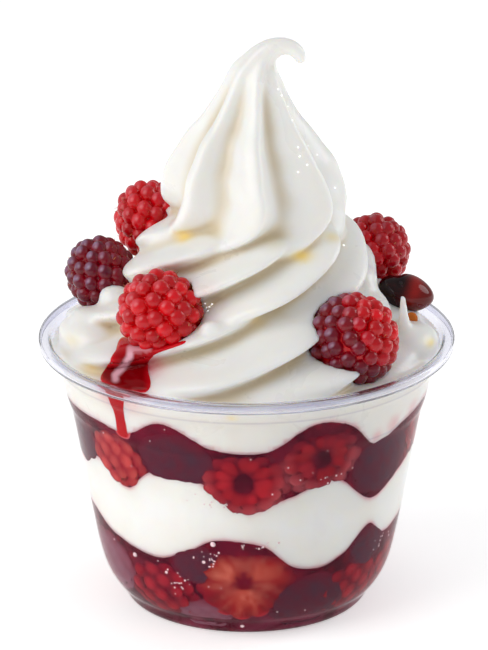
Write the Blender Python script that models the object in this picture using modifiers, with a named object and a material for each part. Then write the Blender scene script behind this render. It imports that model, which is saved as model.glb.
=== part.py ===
"""Soft serve sundae in a clear cup: fruit and cream in layers, a ribbed swirl with a curled tip, berries on top.

Metres, +Z up. The origin is the centre of the cup's foot, and -Y is the front. The tables are in millimetres.
"""

import math

import bmesh
import bpy
from mathutils import Matrix, Vector

MM = 0.001
TOUCH_GAP = 0.3
SLIVER = 0.02

# The cup: radius and height along its inner face, from the middle of the floor, up the wall with its foot and two
# shallow ledges, over the rolled rim and down the rim's outer side.
WALL = 0.6
CUP_STEPS = 40
FLOOR_LINE = [(0.0, 1.8), (22.6, 1.8), (24.6, 0.6), (26.8, 0.6), (28.1, 1.4)]
WALL_LINE = [
    (29.2, 3.8), (30.8, 5.4), (32.9, 9.0), (34.3, 13.5), (35.6, 20.0), (40.8, 48.4), (41.7, 50.2),
    (43.4, 57.8), (44.4, 59.2), (45.8, 64.2),
]
RIM_LINE = [(46.8, 65.2), (48.3, 65.2), (49.0, 64.4), (48.9, 62.8)]
FLOOR_HEIGHT = FLOOR_LINE[0][1]
RIM_HEIGHT = 65.2

# Heights at the wall, by angle round the cup, of the three wavy borders between the layers.
LOWER_FRUIT_TOP = [
    (-165, 26.0), (-147, 22.3), (-125, 20.2), (-112, 23.3), (-102, 27.0), (-85, 26.0), (-72, 19.5), (-62, 18.4),
    (-52, 20.5), (-40, 26.5), (-30, 22.0), (-10, 23.5), (12, 26.5), (38, 19.5), (65, 25.0), (92, 19.5),
    (122, 26.0), (150, 20.5), (176, 25.0),
]
CREAM_BAND_TOP = [
    (-165, 38.0), (-150, 41.4), (-135, 36.8), (-124, 42.5), (-108, 42.7), (-90, 34.8), (-76, 38.0), (-60, 41.7),
    (-41, 33.2), (-25, 37.5), (-8, 41.0), (18, 36.0), (44, 41.5), (72, 36.0), (102, 41.5), (132, 36.0), (162, 41.0),
]
UPPER_FRUIT_TOP = [
    (-165, 52.2), (-145, 52.4), (-131, 51.8), (-117, 56.9), (-100, 51.2), (-84, 50.8), (-68, 57.6), (-57, 55.8),
    (-44, 48.0), (-30, 51.0), (-12, 53.0), (16, 50.0), (46, 55.0), (76, 50.0), (104, 55.5), (132, 50.5), (160, 54.5),
]
BORDER_STEPS = 40
BORDER_RINGS = 3
BORDER_REACH = 48.0
# Towards the middle of the cup the borders level out to this share of their wave.
BORDER_CALM = 0.3
BORDER_SWELL = 1.18
CONTENTS_TOP = 64.2

# The swirl is three ribbed dollops. Each row is a ring: height above the rim, sideways shift, radius, twist in
# degrees, groove depth as a share of the radius.
RIBS = 8
STEPS_PER_RIB = 6
LOWER_DOLLOP = [
    (-3.0, 0.0, 44.0, -28, 0.03), (0.8, 0.0, 43.4, -13, 0.10), (4.4, 0.2, 41.0, 3, 0.16), (7.8, 0.4, 38.0, 18, 0.19),
    (10.8, 0.6, 34.0, 31, 0.19), (13.2, 0.8, 29.0, 42, 0.17), (14.6, 0.8, 21.0, 50, 0.12),
]
MIDDLE_DOLLOP = [
    (7.6, 0.6, 26.0, -74, 0.10), (10.8, 0.4, 30.4, -60, 0.18), (14.2, 0.2, 31.0, -44, 0.22),
    (17.6, 0.2, 30.6, -28, 0.23), (20.8, 0.4, 29.0, -13, 0.22), (24.0, 0.8, 26.8, 2, 0.20),
    (27.0, 1.2, 23.6, 16, 0.17), (29.2, 1.5, 18.6, 26, 0.12), (30.4, 1.5, 12.0, 32, 0.08),
]
PEAK_DOLLOP = [
    (22.2, 1.6, 14.0, -58, 0.06), (24.4, 1.7, 19.4, -46, 0.12), (27.0, 1.8, 21.6, -30, 0.17),
    (30.2, 1.9, 22.2, -14, 0.20), (33.8, 1.9, 22.3, -6, 0.22), (37.4, 1.6, 21.8, -3, 0.24), (41.6, 1.2, 20.1, -3, 0.25),
    (45.6, 0.9, 17.7, -2, 0.25), (49.5, 0.8, 15.0, -2, 0.25), (53.4, 1.1, 12.0, -1, 0.25), (57.2, 1.3, 9.6, 0, 0.25),
    (61.0, 1.6, 7.7, 0, 0.22),
]
# Above the last ring the tip bends over sideways and down: sideways shift, height, radius and lean in degrees.
TIP_HOOK = [
    (2.3, 64.2, 6.1, 13), (3.2, 66.2, 4.8, 24), (4.3, 68.2, 3.6, 40), (6.0, 69.8, 2.6, 62), (8.3, 70.6, 2.1, 88),
    (10.6, 70.3, 1.8, 113), (12.2, 69.1, 1.5, 142), (12.9, 67.7, 0.9, 166),
]
TIP_GROOVE = 0.14
SWIRL_VOXEL = 0.7
SWIRL_TRIANGLES = 3400

# Berries on top: node, x, y, height above the rim, radius, length stretch, lean and turn of the long axis in degrees,
# and colour.
BRIGHT_RED = (0.55, 0.012, 0.02)
DARK_PURPLE = (0.09, 0.006, 0.02)
DEEP_RED = (0.30, 0.008, 0.015)
TOP_BERRIES = [
    ("raspberry_front", -20.0, -24.0, 13.6, 10.1, 1.02, 70, 200, BRIGHT_RED),
    ("dark_berry_front", 24.4, -24.0, 6.9, 11.0, 1.02, 25, 300, DEEP_RED),
    ("dark_berry_left", -34.0, 5.0, 12.6, 8.6, 1.10, 35, 150, DARK_PURPLE),
    ("raspberry_back_left", -22.8, 20.0, 21.0, 8.6, 1.15, 25, 120, BRIGHT_RED),
    ("raspberry_back_right", 30.0, 16.0, 14.6, 8.8, 1.05, 30, 40, BRIGHT_RED),
]
DRUPELETS = 46
DRUPELET_SIZE = 0.25
DRUPELET_RING = 0.78
BERRY_DETAIL = 4
BERRY_TRIANGLES = 540
# A bed is an icosphere of few faces, whose flats lie at this share of its radius.
BED_FLATS = 0.94

CHERRY_PLACE = (37.4, 3.0, 8.8)
CHERRY_RADII = (6.8, 5.2, 4.3)
CHERRY_TILT = (8, 14, 0)
CHERRY_SIDES = (12, 8)
CHERRY_BED_GAP = 0.8

# Fruit against the wall in each layer: angle, height, radius.
LOWER_FRUIT = [
    (-152, 15.0, 8.5), (-128, 11.5, 9.0), (-108, 17.5, 8.0), (-90, 13.5, 10.0), (-66, 9.5, 8.5), (-42, 17.5, 9.0),
    (-15, 13.0, 9.0), (15, 16.0, 9.0), (45, 11.0, 8.5), (75, 15.5, 9.0), (105, 12.0, 8.5), (130, 16.5, 9.0),
    (162, 12.5, 8.5),
]
UPPER_FRUIT = [
    (-161, 46.0, 7.5), (-138, 44.5, 8.5), (-115, 48.0, 8.5), (-91, 43.5, 10.0), (-64, 47.5, 9.5), (-40, 42.0, 9.0),
    (-12, 46.5, 8.0), (14, 43.5, 8.5), (42, 47.5, 8.5), (72, 43.5, 8.5), (100, 48.0, 8.5), (130, 44.0, 8.5),
    (158, 48.0, 8.0),
]
FRUIT_SINK = 0.8
FRUIT_SIDES = (8, 6)
FRUIT_TURN = 1.3
CORE_GAP = 2.8
HEAP_TRIANGLES = 1350


def new_collection(name):
    made = bpy.data.collections.new(name)
    bpy.context.scene.collection.children.link(made)
    return made


def remove_collection(made):
    for obj in list(made.objects):
        bpy.data.objects.remove(obj)
    bpy.data.collections.remove(made)


def plain_material(name, colour, roughness, transmission=0.0):
    made = bpy.data.materials.new(name)
    made.use_nodes = True
    shader = made.node_tree.nodes["Principled BSDF"]
    shader.inputs["Base Color"].default_value = (*colour, 1.0)
    shader.inputs["Roughness"].default_value = roughness
    shader.inputs["Metallic"].default_value = 0.0
    shader.inputs["Transmission Weight"].default_value = transmission
    return made


def add_object(name, bm, into, finish=None):
    """An object from a bmesh whose sizes are in millimetres."""
    bmesh.ops.scale(bm, vec=(MM, MM, MM), verts=bm.verts)
    mesh = bpy.data.meshes.new(name)
    bm.to_mesh(mesh)
    bm.free()
    mesh.shade_smooth()
    obj = bpy.data.objects.new(name, mesh)
    into.objects.link(obj)
    if finish:
        obj.data.materials.append(finish)
    return obj


def apply_modifiers(obj):
    """Swaps the object's mesh for what its modifiers make of it."""
    bpy.context.view_layer.update()
    graph = bpy.context.evaluated_depsgraph_get()
    plain = obj.data
    obj.data = bpy.data.meshes.new_from_object(obj.evaluated_get(graph))
    obj.modifiers.clear()
    bpy.data.meshes.remove(plain)


def boolean(obj, operation, other, solver="EXACT"):
    """Joins obj with, or cuts it by, an object or all the objects of a collection, and merges the slivers."""
    modifier = obj.modifiers.new(operation.title(), "BOOLEAN")
    modifier.operation = operation
    modifier.solver = solver
    if isinstance(other, bpy.types.Collection):
        modifier.operand_type = "COLLECTION"
        modifier.collection = other
    else:
        modifier.object = other
    apply_modifiers(obj)
    bm = bmesh.new()
    bm.from_mesh(obj.data)
    bmesh.ops.remove_doubles(bm, verts=bm.verts, dist=SLIVER * MM)
    bmesh.ops.dissolve_degenerate(bm, edges=bm.edges, dist=SLIVER * MM)
    bmesh.ops.triangulate(bm, faces=bm.faces)
    bm.to_mesh(obj.data)
    bm.free()


def thin_out(obj, triangles):
    """Collapses edges where the form can spare them, down to about this many triangles."""
    fewer = obj.modifiers.new("Fewer faces", "DECIMATE")
    fewer.ratio = triangles / sum(len(face.vertices) - 2 for face in obj.data.polygons)
    apply_modifiers(obj)


def turned(name, profile, steps, into, finish=None):
    """A profile of radius and height, turned about Z."""
    bm = bmesh.new()
    verts = [bm.verts.new((radius, 0, height)) for radius, height in profile]
    for pair in zip(verts, verts[1:]):
        bm.edges.new(pair)
    obj = add_object(name, bm, into, finish)
    screw = obj.modifiers.new("Turn", "SCREW")
    screw.steps = steps
    screw.render_steps = steps
    screw.use_merge_vertices = True
    screw.merge_threshold = 0.00001
    return obj


def make_cup(into):
    finish = plain_material("clear_plastic", (0.95, 0.96, 0.98), 0.05, 1.0)
    cup = turned("cup", FLOOR_LINE + WALL_LINE + RIM_LINE, CUP_STEPS, into, finish)
    shell = cup.modifiers.new("Wall", "SOLIDIFY")
    shell.thickness = WALL * MM
    shell.offset = -1
    shell.use_even_offset = True


def wall_radius(height):
    """Inside radius of the cup at this height."""
    line = FLOOR_LINE[-1:] + WALL_LINE
    for (low_radius, low), (high_radius, high) in zip(line, line[1:]):
        if height <= high:
            break
    return low_radius + (high_radius - low_radius) * (height - low) / (high - low)


def cup_filling(name, gap, into, finish=None):
    """What fills the cup up to the rim, at a gap from its wall and floor."""
    floor = FLOOR_HEIGHT + gap
    heights = [floor] + [height for _, height in WALL_LINE if height > floor]
    side = [(wall_radius(height) - gap, height) for height in heights]
    filling = turned(name, [(0, CONTENTS_TOP)] + side[::-1] + [(0, floor)], BORDER_STEPS, into, finish)
    apply_modifiers(filling)
    return filling


def wave_height(table, angle):
    """Height of a border at this angle: a smooth wave through the table's points that meets itself."""
    first_angle, first_height = table[0]
    closed = table + [(first_angle + 360, first_height)]
    angle = (angle - first_angle) % 360 + first_angle
    for (left, low), (right, high) in zip(closed, closed[1:]):
        if angle <= right:
            break
    share = (angle - left) / (right - left)
    return low + (high - low) * share * share * (3 - 2 * share)


def border_point(table, x, y, share):
    """The point of a border at this share of the way out, in the direction of x and y."""
    middle = sum(height for _, height in table) / len(table)
    swell = BORDER_CALM + (1 - BORDER_CALM) * (share * BORDER_SWELL) ** 2
    wave = wave_height(table, math.degrees(math.atan2(y, x)))
    return Vector((BORDER_REACH * share * x, BORDER_REACH * share * y, middle + (wave - middle) * swell))


def wavy_slab(name, below, above, into):
    """A slab wider than the cup between two borders: a sphere whose rows of vertices are laid on them."""
    rows = 2 * BORDER_RINGS + 1
    bm = bmesh.new()
    half_step = Matrix.Rotation(math.pi / BORDER_STEPS, 4, "Z")
    bmesh.ops.create_uvsphere(bm, u_segments=BORDER_STEPS, v_segments=rows, radius=1, matrix=half_step)
    for vert in bm.verts:
        row = round((math.asin(max(-1, min(1, vert.co.z))) / math.pi + 0.5) * rows)
        flat = math.hypot(vert.co.x, vert.co.y) or 1
        x, y = vert.co.x / flat, vert.co.y / flat
        if row <= BORDER_RINGS:
            vert.co = border_point(below, x, y, row / BORDER_RINGS) + Vector((0, 0, TOUCH_GAP / 2))
        else:
            vert.co = border_point(above, x, y, (rows - row) / BORDER_RINGS) - Vector((0, 0, TOUCH_GAP / 2))
    return add_object(name, bm, into)


def make_layer(name, below, above, into, spare, finish=None):
    """The part of the cup's filling between two borders."""
    layer = cup_filling(name, TOUCH_GAP, into, finish)
    boolean(layer, "INTERSECT", wavy_slab("slab", below, above, spare))
    return layer


def make_fruit_layer(name, fruit, below, above, colour, into, spare):
    """A core smaller than the cup, with the fruit that shows at the wall fused on, kept inside the layer."""
    core = cup_filling(name, CORE_GAP, into, plain_material(name, colour, 0.25))
    pieces = new_collection("pieces")
    for number, (angle, height, radius) in enumerate(fruit):
        reach = wall_radius(height) - radius * FRUIT_SINK
        bm = bmesh.new()
        bmesh.ops.create_uvsphere(bm, u_segments=FRUIT_SIDES[0], v_segments=FRUIT_SIDES[1], radius=radius)
        place = Matrix.Rotation(math.radians(angle), 4, "Z") @ Matrix.Translation((reach, 0, height))
        bm.transform(place @ Matrix.Rotation(number * FRUIT_TURN, 4, "X"))
        add_object("fruit", bm, pieces)
    boolean(core, "UNION", pieces)
    remove_collection(pieces)
    boolean(core, "INTERSECT", make_layer("limits", below, above, spare, spare))
    thin_out(core, HEAP_TRIANGLES)


def ribbed_ring(bm, place, radius, twist, groove, lean):
    """One ring of a dollop: round ribs with grooves between them, leaning over about Y."""
    steps = RIBS * STEPS_PER_RIB
    tilt = Matrix.Rotation(math.radians(lean), 3, "Y")
    ring = []
    for step in range(steps):
        valley = 0.5 - 0.5 * math.cos(math.tau * step / STEPS_PER_RIB)
        reach = radius * (1 - groove * valley)
        angle = math.tau * step / steps + math.radians(twist - 90)
        ring.append(bm.verts.new(tilt @ Vector((reach * math.cos(angle), reach * math.sin(angle), 0)) + place))
    return ring


def add_dollop(bm, table, hook):
    """A closed body lofted through the ribbed rings of its table, and on through the hook's rings."""
    rings = [
        ribbed_ring(bm, Vector((shift, 0, RIM_HEIGHT + height)), radius, twist, groove, 0)
        for height, shift, radius, twist, groove in table
    ]
    last_twist = table[-1][3]
    rings += [
        ribbed_ring(bm, Vector((shift, 0, RIM_HEIGHT + height)), radius, last_twist, TIP_GROOVE, lean)
        for shift, height, radius, lean in hook
    ]
    for low, high in zip(rings, rings[1:]):
        for i in range(len(low)):
            j = (i + 1) % len(low)
            bm.faces.new((low[i], low[j], high[j], high[i]))
    bm.faces.new(rings[0][::-1])
    bm.faces.new(rings[-1])


def make_swirl(into):
    """The three dollops melted into one skin."""
    bm = bmesh.new()
    add_dollop(bm, LOWER_DOLLOP, [])
    add_dollop(bm, MIDDLE_DOLLOP, [])
    add_dollop(bm, PEAK_DOLLOP, TIP_HOOK)
    swirl = add_object("swirl", bm, into)
    melt = swirl.modifiers.new("Melt", "REMESH")
    melt.mode = "VOXEL"
    melt.voxel_size = SWIRL_VOXEL * MM
    apply_modifiers(swirl)
    thin_out(swirl, SWIRL_TRIANGLES)
    return swirl


def make_soft_serve(beds, into, spare):
    """The swirl on the cream that fills the top of the cup, with a bed cut for each berry."""
    flat_top = [(0, RIM_HEIGHT + 1)]
    finish = plain_material("soft_serve", (0.93, 0.91, 0.84), 0.35)
    cream = make_layer("soft_serve", UPPER_FRUIT_TOP, flat_top, into, spare, finish)
    boolean(cream, "UNION", make_swirl(spare))
    boolean(cream, "DIFFERENCE", beds)


def spread_directions(count):
    """Unit vectors spread evenly over a sphere, on a spiral."""
    golden = math.pi * (3 - math.sqrt(5))
    directions = []
    for i in range(count):
        z = 1 - (2 * i + 1) / count
        flat = math.sqrt(1 - z * z)
        directions.append(Vector((flat * math.cos(golden * i), flat * math.sin(golden * i), z)))
    return directions


def drupelet_reach(direction, centres):
    """How far a berry of radius 1 reaches in this direction: to its core, or to the drupelet that stands out most."""
    reach = DRUPELET_RING
    for centre in centres:
        along = direction.dot(centre) * DRUPELET_RING
        under_root = DRUPELET_SIZE**2 - DRUPELET_RING**2 + along**2
        if along > 0 and under_root > 0:
            reach = max(reach, along + math.sqrt(under_root))
    return reach


def make_top_berries(into, beds):
    """The berries on the swirl, and the plain ovals that cut their beds."""
    centres = spread_directions(DRUPELETS)
    for name, x, y, height, radius, stretch, lean, turn, colour in TOP_BERRIES:
        place = (
            Matrix.Translation((x, y, RIM_HEIGHT + height))
            @ Matrix.Rotation(math.radians(turn), 4, "Z")
            @ Matrix.Rotation(math.radians(lean), 4, "Y")
            @ Matrix.Diagonal((1, 1, stretch, 1))
        )
        bm = bmesh.new()
        bmesh.ops.create_icosphere(bm, subdivisions=BERRY_DETAIL, radius=1)
        for vert in bm.verts:
            vert.co = vert.co.normalized() * drupelet_reach(vert.co.normalized(), centres) * radius
        bm.transform(place)
        thin_out(add_object(name, bm, into, plain_material(name, colour, 0.2)), BERRY_TRIANGLES)
        bm = bmesh.new()
        reach = (radius * (DRUPELET_RING + DRUPELET_SIZE) + TOUCH_GAP) / BED_FLATS
        bmesh.ops.create_icosphere(bm, subdivisions=2, radius=reach)
        bm.transform(place)
        add_object("bed", bm, beds)


def make_cherry(into, beds):
    """A glossy flattened cherry, and the oval that cuts its bed."""
    tilt = Matrix.Identity(4)
    for angle, axis in zip(CHERRY_TILT, "XYZ"):
        tilt = tilt @ Matrix.Rotation(math.radians(angle), 4, axis)
    x, y, height = CHERRY_PLACE
    place = Matrix.Translation((x, y, RIM_HEIGHT + height)) @ tilt
    finish = plain_material("cherry", (0.10, 0.004, 0.006), 0.1)
    for name, group, grow, look in (("cherry", into, 0, finish), ("bed", beds, CHERRY_BED_GAP, None)):
        bm = bmesh.new()
        bmesh.ops.create_uvsphere(bm, u_segments=CHERRY_SIDES[0], v_segments=CHERRY_SIDES[1], radius=1)
        bm.transform(place @ Matrix.Diagonal((*[radius + grow for radius in CHERRY_RADII], 1)))
        add_object(name, bm, group, look)


def main():
    for obj in list(bpy.data.objects):
        bpy.data.objects.remove(obj)
    parts = new_collection("soft_serve_sundae")
    beds = new_collection("beds")
    spare = new_collection("spare")
    make_cup(parts)
    make_top_berries(parts, beds)
    make_cherry(parts, beds)
    make_soft_serve(beds, parts, spare)
    cream = plain_material("cream_band", (0.93, 0.92, 0.88), 0.35)
    make_layer("cream_band", LOWER_FRUIT_TOP, CREAM_BAND_TOP, parts, spare, cream)
    flat_floor = [(0, 0)]
    make_fruit_layer("lower_fruit", LOWER_FRUIT, flat_floor, LOWER_FRUIT_TOP, (0.22, 0.01, 0.03), parts, spare)
    make_fruit_layer("upper_fruit", UPPER_FRUIT, CREAM_BAND_TOP, UPPER_FRUIT_TOP, (0.25, 0.01, 0.03), parts, spare)
    remove_collection(beds)
    remove_collection(spare)


main()
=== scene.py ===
"""Soft serve sundae: a ribbed swirl with berries, on fruit and cream in layers, in a clear plastic cup."""

import math
import random
from collections import namedtuple

import bpy
import numpy as np
from mathutils import Matrix, Vector
from mathutils.bvhtree import BVHTree

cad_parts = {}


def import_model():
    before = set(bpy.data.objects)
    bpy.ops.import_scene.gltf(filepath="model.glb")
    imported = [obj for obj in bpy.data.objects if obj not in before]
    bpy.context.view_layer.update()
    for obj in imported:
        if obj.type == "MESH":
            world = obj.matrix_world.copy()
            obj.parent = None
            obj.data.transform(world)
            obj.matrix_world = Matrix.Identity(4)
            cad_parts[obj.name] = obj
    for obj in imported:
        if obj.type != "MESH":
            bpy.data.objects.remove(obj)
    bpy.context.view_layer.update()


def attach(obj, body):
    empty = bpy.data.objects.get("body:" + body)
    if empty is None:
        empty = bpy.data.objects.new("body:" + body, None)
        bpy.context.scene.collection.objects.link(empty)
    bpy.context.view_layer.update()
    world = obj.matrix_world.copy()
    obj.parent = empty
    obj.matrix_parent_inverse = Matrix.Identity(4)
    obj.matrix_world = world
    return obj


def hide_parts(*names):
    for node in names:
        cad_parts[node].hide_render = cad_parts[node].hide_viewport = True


bl_info = {
    "name": "Soft serve sundae",
    "version": (1, 0, 0),
    "blender": (4, 5, 0),
    "location": "View3D > Sidebar > Sundae",
    "description": "Models a soft serve sundae piece by piece: cup, fruit layers, cream, berries and syrup",
    "category": "Add Mesh",
}

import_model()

# Tables are in millimetres and degrees, meshes in metres.
MM = 0.001
BODY = "root"
# Points closer than this are one point, in metres.
SEAM = 0.00001

# The cup's inner face: radius and height along the floor and foot, up the wall with its two ledges, and over
# the rolled lip.
FLOOR_LINE = [(0.0, 1.8), (22.6, 1.8), (23.6, 1.3), (24.6, 0.6), (26.8, 0.6), (28.1, 1.4)]
WALL_LINE = [
    (29.2, 3.8), (30.8, 5.4), (32.9, 9.0), (34.3, 13.5), (35.6, 20.0), (38.2, 34.2), (40.8, 48.4),
    (41.7, 50.2), (43.4, 57.8), (44.4, 59.2), (45.7, 63.6),
]
RIM_LINE = [(46.3, 64.8), (47.2, 65.2), (48.1, 65.2), (48.8, 64.8), (49.0, 64.0), (48.95, 63.2), (48.6, 62.7)]
RIM_HEIGHT = 65.2
LIP_START = 62.4
LEDGE_HEIGHTS = [50.1, 59.2]
LEDGE_WIDTH = 0.35
# The flat floor's radius, and the radius and height within which food rests on the floor and foot.
FLAT_RADIUS = 24
FOOT_RADIUS = 30.5
FOOT_HEIGHT = 5.2
# From the middle of the foot's groove to below the lip's end the inner face only rises.
RISING_FROM = 25.6
RISING_TO = (46.5, 64.6)

# Heights of the wavy borders between the layers at the wall, by angle round the cup. -90 is the front.
LOWER_FRUIT_TOP = [
    (-165, 26.0), (-147, 22.3), (-125, 20.2), (-112, 23.3), (-102, 27.0), (-85, 26.0), (-72, 19.5),
    (-62, 18.4), (-52, 20.5), (-40, 26.5), (-30, 22.0), (-10, 23.5), (12, 26.5), (38, 19.5), (65, 25.0),
    (92, 19.5), (122, 26.0), (150, 20.5), (176, 25.0),
]
CREAM_BAND_TOP = [
    (-165, 38.0), (-150, 41.4), (-135, 36.8), (-124, 42.5), (-108, 42.7), (-90, 34.8), (-76, 38.0),
    (-60, 41.7), (-41, 33.2), (-25, 37.5), (-8, 41.0), (18, 36.0), (44, 41.5), (72, 36.0), (102, 41.5),
    (132, 36.0), (162, 41.0),
]
UPPER_FRUIT_TOP = [
    (-165, 52.2), (-145, 52.4), (-131, 51.8), (-117, 56.9), (-100, 51.2), (-84, 50.8), (-68, 57.6),
    (-57, 55.8), (-44, 48.0), (-30, 51.0), (-12, 53.0), (16, 50.0), (46, 55.0), (76, 50.0), (104, 55.5),
    (132, 50.5), (160, 54.5),
]
# The nearly level top of the cream in the cup, which the swirl covers.
FILLING_TOP = [(0, 63.2), (120, 63.6), (240, 63.0)]

# How far the cream and the juice reach into the plastic, so that no air shows.
CREAM_REACH = 0.35
JUICE_REACH = 0.25
FILLING_REACH = 0.2

RIBS = 8
PEAK_RIBS = 7
PEAK_TURN = 10
# Points across a rib, and how far its grooves lean to one side: 1 would make them even.
RIB_COLUMNS = 32
RIB_SKEW = 0.66
# Rings of the three ribbed dollops: height above the rim, sideways shift, radius, twist, depth of the grooves
# as a share of the radius, and lean.
LOWER_DOLLOP = [
    (-3.0, 0.0, 44.0, -28, 0.03, 0), (0.8, 0.0, 43.4, -13, 0.10, 0), (4.4, 0.2, 41.0, 3, 0.16, 0),
    (7.8, 0.4, 38.0, 18, 0.19, 0), (10.8, 0.6, 34.0, 31, 0.19, 0), (13.2, 0.8, 29.0, 42, 0.17, 0),
    (14.6, 0.8, 21.0, 50, 0.12, 0),
]
MIDDLE_DOLLOP = [
    (7.6, 0.6, 26.0, -74, 0.10, 0), (10.8, 0.4, 30.4, -60, 0.18, 0), (14.2, 0.2, 31.0, -44, 0.22, 0),
    (17.6, 0.2, 30.6, -28, 0.23, 0), (20.8, 0.4, 29.0, -13, 0.22, 0), (24.0, 0.8, 26.8, 2, 0.20, 0),
    (27.0, 1.2, 23.6, 16, 0.17, 0), (29.2, 1.5, 18.6, 26, 0.12, 0), (30.4, 1.5, 12.0, 32, 0.08, 0),
]
PEAK_DOLLOP = [
    (22.2, 1.6, 14.0, -58, 0.06, 0), (24.4, 1.7, 19.4, -46, 0.12, 0), (27.0, 1.8, 21.6, -30, 0.17, 0),
    (30.2, 1.9, 22.2, -14, 0.20, 0), (33.8, 1.9, 22.3, -6, 0.22, 0), (37.4, 1.6, 21.8, -3, 0.24, 0),
    (41.6, 1.2, 20.1, -3, 0.25, 0), (45.6, 0.9, 17.7, -2, 0.25, 0), (49.5, 0.8, 15.0, -2, 0.25, 0),
    (53.4, 1.1, 12.0, -1, 0.25, 0), (57.2, 1.3, 9.6, 0, 0.25, 0), (61.0, 1.6, 7.7, 0, 0.22, 0),
    (64.2, 2.3, 6.1, 0, 0.18, 13), (66.2, 3.2, 4.8, 0, 0.16, 24), (68.2, 4.3, 3.6, 0, 0.14, 40),
    (69.7, 6.0, 2.8, 0, 0.12, 62), (70.35, 8.3, 2.3, 0, 0.10, 88), (69.9, 10.5, 2.0, 0, 0.06, 116),
    (68.6, 12.0, 1.75, 0, 0.03, 145), (67.0, 12.6, 1.45, 0, 0.0, 168), (66.2, 12.7, 0.9, 0, 0.0, 176),
]
# How much of the grooves, and of its own reach, the middle dollop loses on its left.
CALM_GROOVES = 0.65
CALM_REACH = 0.09
# Small mounds and folds of cream on the swirl: place, radii and turn about X, Y and Z.
MOUNDS = [
    ((-36.0, -6.0, 65.5), (8.0, 11.0, 6.0), (0, 18, 20)),
    ((-36.2, -5.0, 69.3), (5.6, 5.5, 3.6), (0, 25, 10)),
    ((-30.6, -3.0, 74.6), (4.6, 5.0, 3.6), (0, 35, 0)),
    ((38.0, -8.0, 64.5), (7.0, 9.0, 5.5), (0, -15, -20)),
    ((26.6, -2.0, 78.6), (4.2, 6.0, 4.0), (0, -30, 0)),
    ((41.2, -4.0, 63.6), (2.2, 4.5, 4.0), (0, 0, 15)),
]
# How far round each mound the crease is softened, and in how many passes.
MOUND_MELT = 2.5
MOUND_PASSES = 14
# Passes that even the cream out, to tell its fine and its broad hollows.
FINE_PASSES = 12
BROAD_PASSES = 150
# Cream this near the wall, or this far through it, is brought to the wall, each up to a height.
TOUCHING = (0.45, 63.0)
PASSING = (0.38, 64.5)
# Small lumps of cream as seen from the front: place across, level and radii.
LUMPS = [(-8.6, 71.4, (2.4, 1.8, 2.0)), (-8.2, 66.2, (2.6, 1.8, 1.7)), (-11.0, 80.0, (2.0, 1.4, 1.2))]
# A spike of cream drawn up by the rim: its foot, its tip, and the radius at each.
SPIKE = ((37.2, -11.5, 62.0), (36.4, -8.0, 77.4), 2.9, 0.7)
# Small rings of cream round a hollow: place, radius, thickness and turn.
CURLS = [((41.6, -7.0, 65.2), 2.5, 1.15, (48, 8, 0)), ((-40.0, -6.0, 65.6), 2.6, 1.3, (50, -14, 0))]
# Most triangles that the swirl may have.
SWIRL_FACES = 190000
# Places of yellow spots in the folds and of juice on the cream as seen from the front: across, level, size
# and strength.
YELLOW_SPOTS = [
    (-14.4, 88.8, 2.5, 1.0), (12.6, 84.0, 2.5, 1.0), (2.0, 67.9, 2.0, 0.3), (-36.0, 56.6, 2.6, 0.45),
    (-41.0, 63.0, 2.8, 0.3), (43.0, 62.6, 2.0, 0.75), (20.0, 88.6, 2.2, 0.45), (-3.4, 44.2, 1.2, 0.55),
    (6.0, 87.0, 2.6, 0.2),
]
STAIN_SPOTS = [
    (-23.5, 57.0, 4.6, 0.75), (-27.0, 55.0, 4.4, 0.7), (-30.5, 51.5, 4.2, 0.6), (-16.0, 60.5, 2.0, 0.3),
    (-9.5, 74.6, 3.4, 0.16), (-26.0, 50.5, 4.0, 0.55), (30.0, 39.2, 1.9, 0.4), (34.0, 42.4, 2.2, 0.4),
    (38.4, 46.0, 2.4, 0.4),
]
# The yellow spots are this much wider than tall.
YELLOW_SPOTS_WIDE = 1.9
# Small clear drops on the swirl, painted white with a painted glow so that they sparkle, as seen from the
# front: place across and level.
CREAM_DROPS = [
    (7.3, 124.9), (8.1, 123.4), (9.5, 120.9), (10.6, 117.3), (14.3, 111.3), (11.9, 110.6), (16.4, 109.1),
    (12.3, 108.4), (14.0, 106.3), (11.9, 104.5), (20.6, 101.0), (22.6, 86.7), (-9.6, 72.2), (-8.6, 71.4),
    (-8.9, 70.4), (-8.0, 72.0), (-9.2, 71.2),
]
DROP_RADII = (0.13, 0.25)

# Berries on top. height is above the rim, beads is a share of the settings' number, and dark_low and
# dark_high say how dark the lower left and the upper right are as the berry lies.
Berry = namedtuple("Berry", "node kind x y height radius stretch lean turn dark_low dark_high beads")
TOP_BERRIES = [
    Berry("raspberry_front", "raspberry", -20.0, -24.0, 13.6, 10.1, 1.02, 70, 200, 0.0, 0.0, 0.95),
    Berry("dark_berry_front", "dark_berry", 24.3, -24.0, 6.6, 11.2, 1.03, 25, 300, 0.95, 0.0, 1.3),
    Berry("dark_berry_left", "dark_berry", -34.0, 5.0, 12.6, 8.6, 1.10, 35, 150, 1.0, 0.85, 0.9),
    Berry("raspberry_back_left", "raspberry", -22.8, 20.0, 21.0, 8.6, 1.15, 25, 120, 0.0, 0.1, 0.85),
    Berry("raspberry_back_right", "raspberry", 30.0, 16.0, 14.6, 8.8, 1.05, 30, 40, 0.1, 0.35, 0.85),
]
# Threads on a berry of each kind, and their length and two radii.
HAIRS = {"raspberry": 26, "dark_berry": 16}
HAIR_LENGTHS = (0.5, 1.1)
HAIR_RADII = (0.09, 0.04)
# Where the painted highlight on the beads is strongest, the side towards the key light, and where a berry's
# upper right is.
HIGHLIGHT_SIDE = Vector((-0.60, -0.40, 0.69)).normalized()
UPPER_END = (0.80, -0.1, 0.55)
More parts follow.
